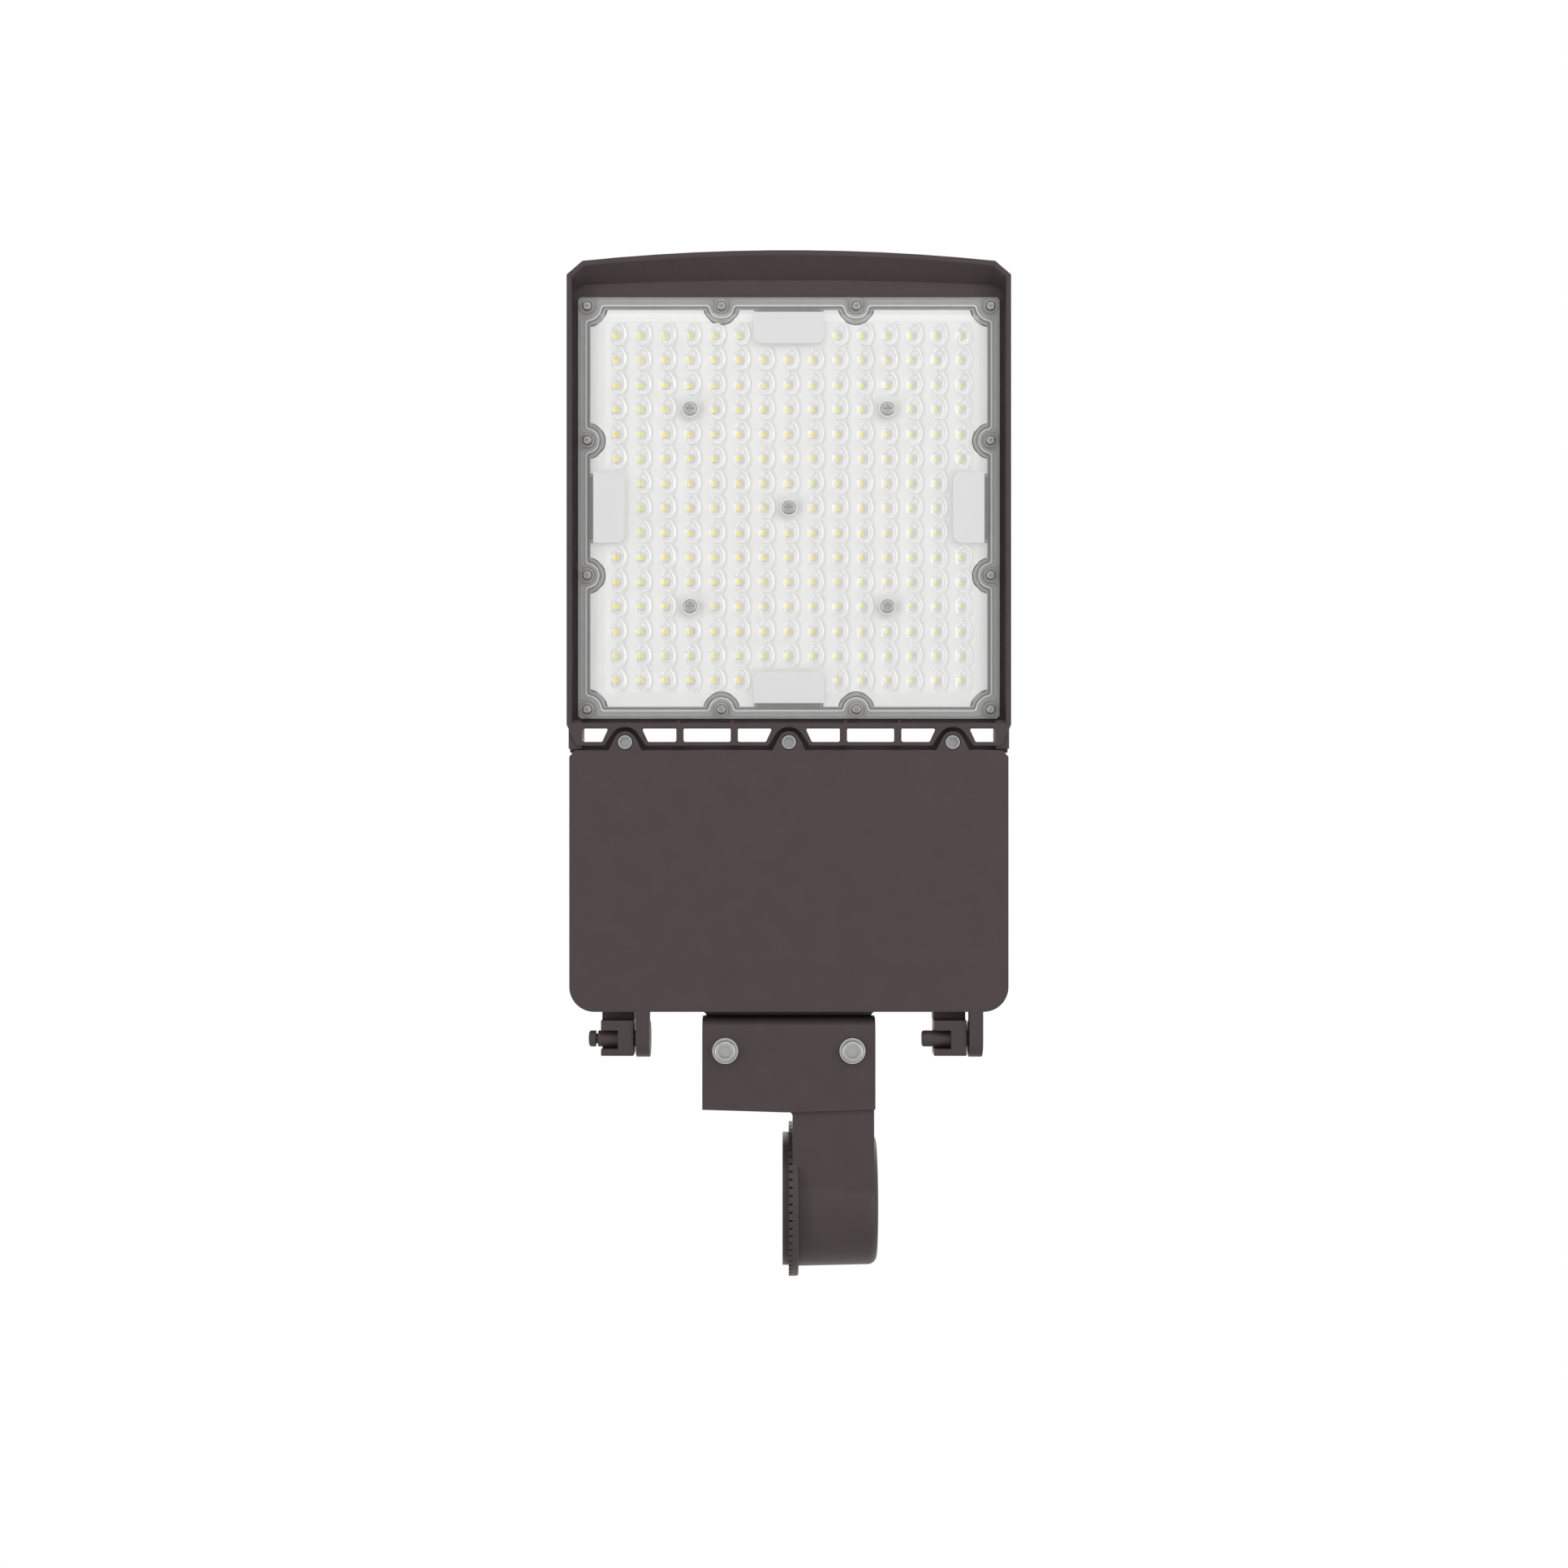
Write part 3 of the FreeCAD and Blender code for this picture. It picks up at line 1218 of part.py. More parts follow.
def driver_bay_contents():
    """The driver, the surge module, the terminals and the earth screw."""
    foot_level = box_ceiling - s.foot_height
    footed("led_driver", driver_x, driver_y, s.driver_height, driver_y, driver_screw_spots())
    roof_screws("driver_screws", driver_screw_spots(), foot_level)
    footed("surge_protector", about(surge_middle, s.surge_length), about(field_line, s.surge_width),
           s.surge_height, about(field_line, s.surge_foot), surge_screw_spots())
    roof_screws("surge_screws", surge_screw_spots(), foot_level)
    terminal_block()
    roof_screws("terminal_screws", terminal_screw_spots(), box_ceiling - s.block_height / 2)
    roof_screws("ground_screw", [(s.ground_at, field_line)], foot_level)
    lug = rod("ground_lug_disc", s.small_head / 2 + 1, "Z", (s.ground_at, field_line, foot_level),
              s.foot_height)
    eye = rod("ground_lug_eye", s.small_screw / 2 + s.thread_gap, "Z",
              (s.ground_at, field_line, foot_level - 1), s.foot_height + 2)
    node(cut("ground_lug", lug, [eye]))


def terminal_block():
    """The mains terminals: a moulded block with three wire entries and their clamp wells."""
    top = box_ceiling
    face = top - s.block_height
    body = block("terminal_body", about(s.terminal_at, s.block_width), about(field_line, s.block_depth),
                 (face, top))
    body = rounded("terminal_soft", body, 1.5, upright)
    tools = []
    for number, step in enumerate((-1, 0, 1), 1):
        x = s.terminal_at + step * s.terminal_pitch
        entry = (x, field_line - s.block_depth / 2 - 1, top - s.wire_level)
        tools.append(rod("wire_entry_%d" % number, s.wire_entry, "Y", entry, s.block_depth + 2))
        tools.append(rod("clamp_well_%d" % number, s.clamp_radius, "Z", (x, field_line, face - 1),
                         s.clamp_depth + 1))
    spots = terminal_screw_spots()
    tools += holes("terminal_screw_hole", s.small_screw / 2 + s.fit_gap, spots, face - 1, top + 1)
    tools += holes("terminal_screw_well", s.small_head / 2 + s.fit_gap, spots, face - 1,
                   top - s.block_height / 2)
    return node(cut("terminal_block", body, tools))


# ---------------------------------------------------------------- leads to the LED board


def gland(name, axis, start, length, lead_places):
    """A rubber gland with a lip at each side of its wall and a hole for each lead."""
    lip = s.gland_lip
    index = {"Y": 1, "Z": 2}[axis]
    low = list(start)
    low[index] = low[index] - lip
    high = list(start)
    high[index] = high[index] + length
    plug = rod(name + "_plug", s.gland_radius, axis, start, length)
    wide = s.gland_radius + s.gland_flange
    parts = [plug, rod(name + "_lip_low", wide, axis, low, lip), rod(name + "_lip_high", wide, axis, high, lip)]
    body = fuse(name + "_body", parts)
    bores = []
    for number, spot in enumerate(lead_places, 1):
        entry = list(spot)
        entry[index] = low[index] - 1
        bores.append(rod("%s_bore_%d" % (name, number), s.lead_radius, axis, entry, length + lip * 2 + 2))
    return node(cut(name, body, bores))


def lead_path(x, stations):
    """A path of straight runs joined by tangent arcs, through places given along Y and Z."""
    points = [FreeCAD.Vector(x, y.number, z.number) for y, z in stations]
    edges = []
    last = points[0]
    for before, corner, after in zip(points, points[1:], points[2:]):
        into = (before - corner).normalize()
        out = (after - corner).normalize()
        turn = math.pi - into.getAngle(out)
        shorter = min((before - corner).Length, (after - corner).Length)
        radius = 0.45 * shorter / math.tan(turn / 2)
        setback = radius * math.tan(turn / 2)
        start = corner + into * setback
        end = corner + out * setback
        bisector = (into + out).normalize()
        middle = corner + bisector * (radius / math.cos(turn / 2) - radius)
        edges.append(Part.LineSegment(last, start).toShape())
        edges.append(Part.Arc(start, middle, end).toShape())
        last = end
        print("lead radius %.1f" % radius)
    edges.append(Part.LineSegment(last, points[-1]).toShape())
    return Part.Wire(edges)


def led_leads():
    """The two leads from the driver, through the duct, down to the connector on the LED board."""
    stations = [(driver_y[0], lead_height), (lead_row, lead_height), (lead_row, board_face)]
    solids = []
    for side in (-1, 1):
        x = side * s.lead_spread.number
        wire = lead_path(x, stations)
        start = FreeCAD.Vector(x, driver_y[0].number, lead_height.number)
        circle = Part.Wire(Part.makeCircle(s.lead_radius.number, start, FreeCAD.Vector(0, -1, 0)))
        tube = wire.makePipeShell([circle], True, False)
        print("lead volume %.1f of %.1f" % (tube.Volume, math.pi * s.lead_radius.number**2 * wire.Length))
        solids.append(tube)
    feature = doc.addObject("Part::Feature", "led_leads")
    feature.Shape = Part.makeCompound(solids)
    return node(feature)


def board_connector():
    """The low connector on the LED board, over the hole where the leads come through."""
    body = block("connector_body", about(sized(0), s.connector_width), about(lead_row, s.connector_depth),
                 (board_face - s.connector_height, board_face))
    return node(rounded("board_connector", body, 0.8, upright))


def lead_parts():
    """The glands, the leads and the connector."""
    pair = (-s.lead_spread, s.lead_spread)
    gland("bay_gland", "Y", (sized(0), box_front, lead_height), s.box_wall,
          [(x, box_front, lead_height) for x in pair])
    gland("board_gland", "Z", (sized(0), lead_row, bay_floor), s.base_thickness,
          [(x, lead_row, bay_floor) for x in pair])
    led_leads()
    board_connector()


# ---------------------------------------------------------------- arm and knuckle


def toothed_ring():
    """The ring of square teeth round the pilot boss."""
    body = doc.addObject("PartDesign::Body", "toothed_ring")
    sketch = body.newObject("Sketcher::SketchObject", "ring_outline")
    sketch.AttachmentSupport = [(origin_plane(body, "YZ_Plane"), "")]
    sketch.MapMode = "FlatFace"
    for index, radius in enumerate((s.tooth_radius, s.pilot_radius - 1)):
        sketch.addGeometry(Part.Circle(FreeCAD.Vector(0, 0, 0), FreeCAD.Vector(0, 0, 1), radius.number), False)
        sketch.addConstraint(Sketcher.Constraint("Coincident", index, 3, -1, 1))
        number = sketch.addConstraint(Sketcher.Constraint("Radius", index, radius.number))
        sketch.setExpression("Constraints[%d]" % number, radius.formula)
    pad = body.newObject("PartDesign::Pad", "ring_pad")
    pad.Profile = sketch
    bind(pad, {"Length": s.tooth_height})
    doc.recompute()
    half = s.tooth_slot / 2
    outline = [
        (-half, s.pilot_radius + s.fit_gap),
        (half, s.pilot_radius + s.fit_gap),
        (half, s.tooth_radius + 1),
        (-half, s.tooth_radius + 1),
    ]
    slot = sketched(body, "tooth_slot_outline", "YZ_Plane", outline, {})
    pocket = body.newObject("PartDesign::Pocket", "tooth_slot")
    pocket.Profile = slot
    pocket.Reversed = True
    bind(pocket, {"Length": s.tooth_height})
    before = pad.Shape.Volume
    doc.recompute()
    if pocket.Shape.Volume > before - 1:
        raise RuntimeError("the tooth slot cuts nothing")
    pattern = body.newObject("PartDesign::PolarPattern", "tooth_pattern")
    pattern.Originals = [pocket]
    pattern.Axis = (next(f for f in body.Origin.OriginFeatures if f.Role == "X_Axis"), [""])
    pattern.Angle = 360
    pattern.Occurrences = int(s.tooth_count.number)
    body.Tip = pattern
    return body


def arm_shell():
    """The hollow plate of the arm, its bolt bosses and the neck towards the drum."""
    half = s.arm_half
    back = -s.arm_back
    outline = [
        (-half, -arm_front),
        (half, -arm_front),
        (half, back - s.arm_draft),
        (sized(0), back),
        (-half, back - s.arm_draft),
    ]
    plate = prism("arm_plate", "XY_Plane", outline, arm_base, arm_top)
    plate = rounded(
        "arm_plate_round", plate, s.arm_round,
        lambda b: b.XLength > half.number and abs(b.YMin + arm_front.number) < NEAR
        and abs(b.ZMax - arm_base.number) < NEAR,
    )
    drum_start = s.tooth_height + s.flange_thickness
    neck_low = s.neck_lift - s.drum_radius
    neck_x = (s.tooth_height, s.arm_half - s.neck_inset)
    neck = block("arm_neck", neck_x, (back - s.arm_draft - s.arm_wall, 0), (neck_low, arm_top))
    rise = block("arm_neck_rise", neck_x, (s.neck_gap - s.tongue_end, 0), (arm_top - 1, above(s.neck_top)))
    heel_outline = [
        (-s.heel_toe, back - s.heel_root),
        (s.heel_width - s.heel_toe, back - s.heel_root),
        (s.heel_width - s.heel_toe, back + s.heel_reach),
        (s.tooth_height, back + s.heel_reach),
        (s.tooth_height, back + s.heel_slant),
    ]
    heel = prism("arm_heel", "XY_Plane", heel_outline, neck_low, arm_top)
    drum = cone("drum", s.drum_radius, s.drum_end_radius, "X", (drum_start, 0, 0), s.drum_length)
    end = (drum_start + s.drum_length).number
    drum = rounded("drum_round", drum, s.drum_round, lambda b: abs(b.XMin - end) < NEAR and b.YLength > 1)
    flange = rod("flange", s.tooth_radius, "X", (s.tooth_height, 0, 0), s.flange_thickness)
    flange = rounded("flange_soft", flange, s.flange_round, lambda b: abs(b.XMin - drum_start.number) < NEAR)
    pilot = rod("pilot", s.pilot_radius, "X", (-s.pilot_length, 0, 0), s.pilot_length + s.tooth_height + 1)
    return fuse("arm_solid", [plate, neck, rise, heel, drum, flange, pilot, toothed_ring()])


def knuckle_bracket():
    """The cast arm: bolted plate, neck and one half of the serrated knuckle."""
    solid = arm_shell()
    wall = s.arm_wall
    half = s.arm_half - wall
    back = -s.arm_back - s.arm_draft - wall
    hollow = block("arm_hollow", (-half, half), (-arm_front + wall, back), (arm_base + wall, arm_top + 1))
    hollow = rounded("arm_hollow_round", hollow, s.hollow_round,
                     lambda b: b.XLength > half.number and abs(b.ZMax - (arm_base + wall).number) < NEAR
                     and abs(b.YMin + (arm_front - wall).number) < NEAR)
    posts = []
    for number, x in enumerate(BOLTS, 1):
        posts.append(rod("arm_post_%d" % number, s.washer_width / 2, "Z", (x, -s.bolt_at, arm_base + 1),
                         arm_top - arm_base - 1))
    drum_end = s.tooth_height + s.flange_thickness + s.drum_length
    ring_outer = rod("wireway_outer", s.wireway_radius, "X", (-s.pilot_length - 1, 0, 0),
                     s.wireway_floor + s.pilot_length + 1)
    ring_inner = rod("wireway_inner", s.pivot_tube, "X", (-s.pilot_length - 2, 0, 0),
                     s.wireway_floor + s.pilot_length + 3)
    tools = [
        rod("pivot_bore", s.pivot_radius, "X", (-s.pilot_length - 1, 0, 0), drum_end + s.pilot_length + 2),
        rod("pivot_head_pocket", s.head_pocket, "X", (drum_end - s.head_pocket_depth, 0, 0),
            s.head_pocket_depth + 1),
        cut("wireway", ring_outer, [ring_inner]),
        rod("neck_wireway", s.neck_bore, "Y",
            (s.wireway_floor * 0.55, back - 2, (arm_base + wall + arm_top) / 2), 2 - back - s.neck_bore),
    ]
    for number, x in enumerate(BOLTS, 1):
        spot = [(x, -s.bolt_at)]
        tools += holes("arm_through_%d" % number, s.bolt_shank / 2 + s.bolt_clearance, spot, arm_base - 1,
                       arm_top + 1)
        tools += holes("arm_seat_%d" % number, s.washer_width / 2 + s.fit_gap, spot, arm_base - 1,
                       arm_base + s.seat_depth)
    opened = cut("arm_opened", solid, [hollow])
    return node(cut("knuckle_bracket", fuse("arm_posted", [opened] + posts), tools))


def arm_fasteners():
    """Bolts, washers and nuts of the arm, and the gasket between arm and tongue."""
    seat = arm_base + s.seat_depth
    spots = [(x, -s.bolt_at, seat) for x in BOLTS]
    outer = rod("washer_outer", s.washer_width / 2, "Z", (0, 0, -s.washer_height), s.washer_height)
    inner = rod("washer_inner", s.bolt_shank / 2 + s.washer_gap, "Z", (0, 0, -s.washer_height - 1),
                s.washer_height + 2)
    node(group("bracket_washers", copies("washer_copy", cut("washer", outer, [inner]), spots)))

    rise = s.bolt_head_rise
    under = -s.washer_height
    cap = rod("bolt_cap", s.bolt_head / 2, "Z", (0, 0, under - rise), rise)
    cap = rounded("bolt_cap_round", cap, s.bolt_head_round,
                  lambda b: abs(b.ZMax - (under - rise).number) < NEAR)
    length = s.washer_height + (tongue_floor - seat) + s.nut_height + s.bolt_end
    stem = rod("bolt_stem", s.bolt_shank / 2, "Z", (0, 0, under), length)
    socket = hexagon("bolt_socket_cut", s.bolt_socket, (0, 0, under - rise - 1), rise * 0.75 + 1)
    bolt = cut("bolt", fuse("bolt_body", [cap, stem]), [socket])
    node(group("bracket_bolts", copies("bolt_copy", bolt, spots)))

    hexed = hexagon("nut_hex", s.nut_flats, (0, 0, 0), s.nut_height)
    tapped = rod("nut_tap", s.bolt_shank / 2 + s.thread_gap, "Z", (0, 0, -1), s.nut_height + 2)
    nut = cut("nut", hexed, [tapped])
    node(group("bracket_nuts", copies("nut_copy", nut, [(x, -s.bolt_at, tongue_floor) for x in BOLTS])))

    low, high = arm_top, above(s.tongue_base)
    edge = tongue_half - s.pad_inset
    front, rear = s.pad_front - arm_front, -s.tongue_end - s.pad_inset
    pad = block("pad_sheet", (-edge, edge), (front, rear), (low, high))
    window = block("pad_window", (s.pad_width - edge, edge - s.pad_width),
                   (front + s.pad_width, rear - s.pad_width), (low - 1, high + 1))
    node(cut("bracket_gasket", pad, [window]))


# ---------------------------------------------------------------- the whole light

housing()
lens_plate()
lens_gasket()
led_board()
led_packages()
lens_screws()
driver_cover()
cover_gasket()
cover_screws()
hinge_pins()
driver_bay_contents()
lead_parts()
knuckle_bracket()
arm_fasteners()
doc.recompute()

faults = []
for thing in doc.Objects:
    if "Invalid" in thing.State or "Error" in thing.State:
        faults.append("%s is in state %s" % (thing.Name, thing.State))
for part in NODES:
    if part.Shape.isNull() or not part.Shape.isValid():
        faults.append("%s has no valid shape" % part.Name)
if faults:
    raise RuntimeError("; ".join(faults))

os.makedirs("parts", exist_ok=True)
for part in NODES:
    part.Shape.exportStep("parts/%s.step" % part.Label)
    print("%-24s %4d solids %12.1f mm3" % (part.Label, len(part.Shape.Solids), part.Shape.Volume))
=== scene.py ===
"""Looks of a pole area light: coats, clear optics, seals, LEDs and metal round the fixed frame."""

import json
import math

import bmesh
import bpy
from mathutils import Matrix, Vector


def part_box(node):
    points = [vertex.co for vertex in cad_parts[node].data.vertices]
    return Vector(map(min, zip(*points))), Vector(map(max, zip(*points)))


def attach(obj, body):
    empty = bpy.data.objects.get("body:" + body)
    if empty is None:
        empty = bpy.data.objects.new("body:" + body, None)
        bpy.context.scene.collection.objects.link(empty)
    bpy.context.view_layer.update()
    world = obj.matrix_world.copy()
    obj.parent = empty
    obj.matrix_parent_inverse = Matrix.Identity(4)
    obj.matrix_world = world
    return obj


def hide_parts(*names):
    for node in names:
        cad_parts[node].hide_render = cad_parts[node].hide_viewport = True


bl_info = {
    "name": "Area light looks",
    "version": (1, 0, 0),
    "blender": (4, 5, 0),
    "location": "View3D > Sidebar > Area light",
    "description": "Dresses a pole area light with its coats, optics, seals and fasteners",
    "category": "Object",
}

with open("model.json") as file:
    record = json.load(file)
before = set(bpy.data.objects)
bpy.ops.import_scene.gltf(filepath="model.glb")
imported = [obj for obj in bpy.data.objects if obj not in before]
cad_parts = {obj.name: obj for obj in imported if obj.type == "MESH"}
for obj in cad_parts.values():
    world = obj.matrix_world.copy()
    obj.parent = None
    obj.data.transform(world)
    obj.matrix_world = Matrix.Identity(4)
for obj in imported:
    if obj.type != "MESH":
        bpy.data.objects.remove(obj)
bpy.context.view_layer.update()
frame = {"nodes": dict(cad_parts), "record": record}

MM = 0.001
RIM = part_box("housing")[0].z  # the plane of the rim round the lens
LENS_LOW, LENS_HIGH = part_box("lens_plate")
LENS_HALF = LENS_HIGH.x
LENS_MIDDLE = (LENS_LOW.y + LENS_HIGH.y) / 2
FLANGE_BACK = LENS_HIGH.z
BOARD_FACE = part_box("led_board")[0].z
BAY_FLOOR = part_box("led_board")[1].z

LED_SIZE = 3.0 * MM
GRID = 7  # LEDs each side of the middle one
PITCH = (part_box("led_packages")[1].x - LED_SIZE / 2) / GRID
FIELD_CELLS = [(0, 0), (-4, -4), (-4, 4), (4, -4), (4, 4)]  # where a screw takes an LED's place

# the picture: 1932 pixels a side, 0.52 mm a pixel at the rim plane
PICTURE_SIDE = 1932
PIXEL = 0.52 * MM
AXIS_PIXEL = 972  # column of the tooth tips
MIDDLE_Y = -274.3 * MM  # what the middle row shows
SHOWN_TO = ("Is Camera Ray", "Is Glossy Ray", "Is Transmission Ray")  # rays that see the white surroundings
WHITE = (1, 1, 1, 1)
CREASE = math.radians(38)  # edges that turn more than this are hard


# ---- shader maths


class Wire:
    """A shader socket that can be added, scaled and compared."""

    def __init__(self, nodes, socket):
        self.nodes = nodes
        self.socket = socket

    def worked(self, operation, other):
        """A maths node that takes this socket first."""
        return self.nodes.add("ShaderNodeMath", {"operation": operation}, {0: self, 1: other})

    def __add__(self, other):
        return self.worked("ADD", other)

    def __sub__(self, other):
        return self.worked("SUBTRACT", other)

    def __mul__(self, other):
        return self.worked("MULTIPLY", other)

    def __gt__(self, other):
        return self.worked("GREATER_THAN", other)

    def __lt__(self, other):
        return self.worked("LESS_THAN", other)


class Nodes:
    """The node tree of a material or of the world."""

    def __init__(self, tree):
        self.tree = tree

    def add(self, kind, settings=None, inputs=None, output=0):
        """Adds a node, sets it up, feeds its sockets and gives one output."""
        made = self.tree.nodes.new(kind)
        for name, value in (settings or {}).items():
            setattr(made, name, value)
        for socket, value in (inputs or {}).items():
            self.feed(made.inputs[socket], value)
        return Wire(self, made.outputs[output])

    def feed(self, socket, value):
        if isinstance(value, Wire):
            self.tree.links.new(value.socket, socket)
        else:
            socket.default_value = value

    def show(self, amount, first, second):
        """Gives the tree's output a mix of two shaders."""
        mixed = self.add("ShaderNodeMixShader", None, {0: amount, 1: first, 2: second})
        output = next(node for node in self.tree.nodes if node.bl_idname.startswith("ShaderNodeOutput"))
        self.feed(output.inputs["Surface"], mixed)

    def seen(self):
        """1 for rays that look at the surroundings, 0 for rays that only carry light."""
        seen, *others = [self.add("ShaderNodeLightPath", output=name) for name in SHOWN_TO]
        for ray in others:
            seen = seen.worked("MAXIMUM", ray)
        return seen


class Finish(Nodes):
    """One material: a Principled shader and the nodes that feed it."""

    def __init__(self, name, **constants):
        self.material = bpy.data.materials.new(name)
        self.material.use_nodes = True
        super().__init__(self.material.node_tree)
        self.shader = self.tree.nodes["Principled BSDF"]
        self.solid = Wire(self, self.shader.outputs[0])
        self.drive(**constants)

    def place(self, stretch=(1, 1, 1)):
        """Object coordinates, stretched."""
        here = self.add("ShaderNodeTexCoord", output="Object")
        return self.add("ShaderNodeMapping", None, {"Vector": here, "Scale": stretch})

    def along(self, axis):
        """Object coordinates along one axis."""
        here = self.add("ShaderNodeTexCoord", output="Object")
        return self.add("ShaderNodeSeparateXYZ", None, {0: here}, output=axis)

    def noise(self, size, detail=2.0, rough=0.5, where=None):
        """A noise whose features are about that size, from 0 to 1."""
        inputs = {"Vector": where or self.place(), "Scale": 1 / size, "Detail": detail, "Roughness": rough}
        return self.add("ShaderNodeTexNoise", None, inputs)

    def blend(self, amount, first, second):
        """A colour between two others."""
        first, second = (c if isinstance(c, Wire) else (*c, 1) for c in (first, second))
        return self.add("ShaderNodeMix", {"data_type": "RGBA"}, {0: amount, 6: first, 7: second}, output=2)

    def clouds(self, colour, size, spread, detail=2.0):
        """A colour with soft clouds, lighter and darker by a share."""
        return self.blend(self.noise(size, detail), shaded(colour, 1 - spread), shaded(colour, 1 + spread))

    def ramp(self, wire, start, end):
        """0 at the start, 1 at the end, and even steps between."""
        return self.add("ShaderNodeMapRange", None, {"Value": wire, "From Min": start, "From Max": end})

    def bump(self, height, depth):
        """A normal raised by a height of that depth."""
        return self.add("ShaderNodeBump", None, {"Height": height, "Distance": depth})

    def drive(self, **values):
        """Feeds the shader's own sockets."""
        for socket, value in values.items():
            self.feed(self.shader.inputs[socket.replace("_", " ")], value)
        return self.material

    def skin(self, base, grain, spread, roughness, depth):
        """Feeds a colour, and a grain that varies the roughness and raises the surface."""
        rough = grain * spread + roughness
        return self.drive(Base_Color=base, Roughness=rough, Normal=self.bump(grain, depth))


def shaded(colour, amount):
    """A colour made lighter or darker by a share."""
    return tuple(min(1.0, c * amount) for c in colour[:3])


# ---- finishes


def powder_coat(settings):
    """Satin powder coat: a fine orange peel, slight mottling, and rubbed sheen in broad patches."""
    finish = Finish("powder_coat", Specular_IOR_Level=settings.sheen)
    speck = finish.noise(settings.grain * 0.6, detail=1)
    base = finish.clouds(settings.colour, settings.mottle, 0.10, detail=3)
    base = finish.blend((speck > 0.66) * 0.35, base, shaded(settings.colour, 1.28))
    patches = finish.noise(settings.mottle * 2.5)
    peel = finish.noise(settings.grain * 2.2, detail=2)
    grain = finish.noise(settings.grain, detail=1)
    raised = finish.bump(peel * 0.7 + grain * 0.3, settings.depth)
    rough = patches * 0.16 + (settings.roughness - 0.08)
    return finish.drive(Base_Color=base, Roughness=rough, Normal=raised)


def clear_plastic(name, ior, colour, optic=None):
    """Clear moulded plastic with a faint flow in its surface. Lamps shine straight through it."""
    finish = Finish(name, Transmission_Weight=1.0, IOR=ior, Roughness=0.03)
    flow = finish.noise(9 * MM, detail=1)
    cloud = finish.noise(40 * MM, detail=1)
    base = finish.blend(cloud, shaded(colour, 0.975), shaded(colour, 0.99))
    solid = finish.solid
    if optic:
        # Painted light on the optics: glint is painted highlights, depth is painted shade that darkens the
        # glass's tint, glow is the LED's colour painted into it.
        glint, depth, glow = optic_marks(finish, optic)
        base = finish.blend(depth, base, shaded(colour, 0.55))
        base = finish.blend(glow, base, optic.glow_colour)
        # Painted highlight: a white shader, glowing faintly though it is no lamp, mixed in where the painted
        # arcs lie.
        lit = {"Base Color": (0.98, 0.98, 0.98, 1), "Roughness": 0.35, "Emission Color": WHITE,
               "Emission Strength": 0.06}
        white = finish.add("ShaderNodeBsdfPrincipled", None, lit)
        solid = finish.add("ShaderNodeMixShader", None, {0: glint, 1: solid, 2: white})
    finish.drive(Base_Color=base, Normal=finish.bump(flow, 0.006 * MM))
    return lit_through(finish, solid)


# Painted highlights: white arcs along an optic's wall. The side, the inner ellipse's shift, the inner and the
# outer ellipse's size over the optic's own, where the arc starts and ends along the optic, and how bright it
# is.
GLINTS = (
    (1, -0.75 * MM, 0.94, 0.97, -7.6 * MM, 6.3 * MM, 0.95),
    (-1, 0.95 * MM, 0.88, 0.97, -1.7 * MM, 0.9 * MM, 1.0),
    (-1, 0.70 * MM, 0.90, 0.94, 0.8 * MM, 5.2 * MM, 1.0),
    (-1, 0.90 * MM, 0.88, 0.93, -6.4 * MM, -3.2 * MM, 0.85),
)


def optic_marks(finish, optic):
    """Painted light on an optic, from places in its grid cell: painted highlights where it glints, painted
    shade that darkens its glass, and its LED's colour painted into the glass as a glow.
    """
    half_width, half_length = optic.dome_width / 2, optic.dome_length / 2

    def in_cell(axis, middle, shift):
        """Distance from an optic's middle along one axis."""
        turns = (finish.along(axis) - middle) * (1 / PITCH) + 0.5
        part = finish.add("ShaderNodeMath", {"operation": "FRACT"}, {0: turns})
        return part * PITCH - (PITCH / 2 + shift)

    x = in_cell("X", 0, optic.dome_shift)
    y = in_cell("Y", LENS_MIDDLE, 0)
    yy = y * y * (1 / half_length**2)

    def reach(shift, grow=1.0, across=x):
        """1 on an ellipse moved sideways, less inside it."""
        moved = (across - shift) * (1 / (half_width * grow))
        return moved * moved + yy * (1 / grow**2)

    def between(inner, outer, shift=0):
        """1 inside the outer ellipse and outside the inner one, which is moved sideways."""
        return (reach(shift, inner) > 1) * (1 > reach(0, outer))

    arcs = [between(inner, outer, shift) * (x * side > 0) * (y > start) * (end > y) * bright
            for side, shift, inner, outer, start, end, bright in GLINTS]
    glint = sum(arcs[1:], arcs[0])
    # Painted shade in the glass: a dark line round the optic's left side, a soft shade just outside its wall,
    # and darker glass over the LED, towards the arm and all through the optic.
    outline = between(0.965, 1.01) * (1.5 * MM > x) * optic.outline
    beyond = x + (-6.4 * MM > x) * PITCH  # the same ellipse's far side, past the cell's border
    outer = reach(0, across=beyond)
    band = finish.ramp(outer, 1.0, 1.25) * finish.ramp(outer, 2.3, 1.3)  # soft, just outside the wall
    shade = band * finish.ramp(beyond, 0, 4 * MM) * optic.side_shade
    middle = finish.ramp(reach(-0.5 * MM, 0.46), 1.0, 0.2) * optic.middle_shade
    lower = finish.ramp(y, -2 * MM, 2.5 * MM)
    lower_painted_shade = finish.ramp(reach(-1.3 * MM), 1.0, 0.25) * lower * optic.lower_shade
    # Painted glow: the LED's yellow painted into the glass over it.
    glow = finish.ramp(reach(0.3 * MM, 0.36), 1.0, 0.4) * (y > 0.2 * MM) * optic.glow
    glass = 1 > reach(0, 0.97)
    return glint, outline + shade + (middle + lower_painted_shade + optic.glass_shade) * glass, glow


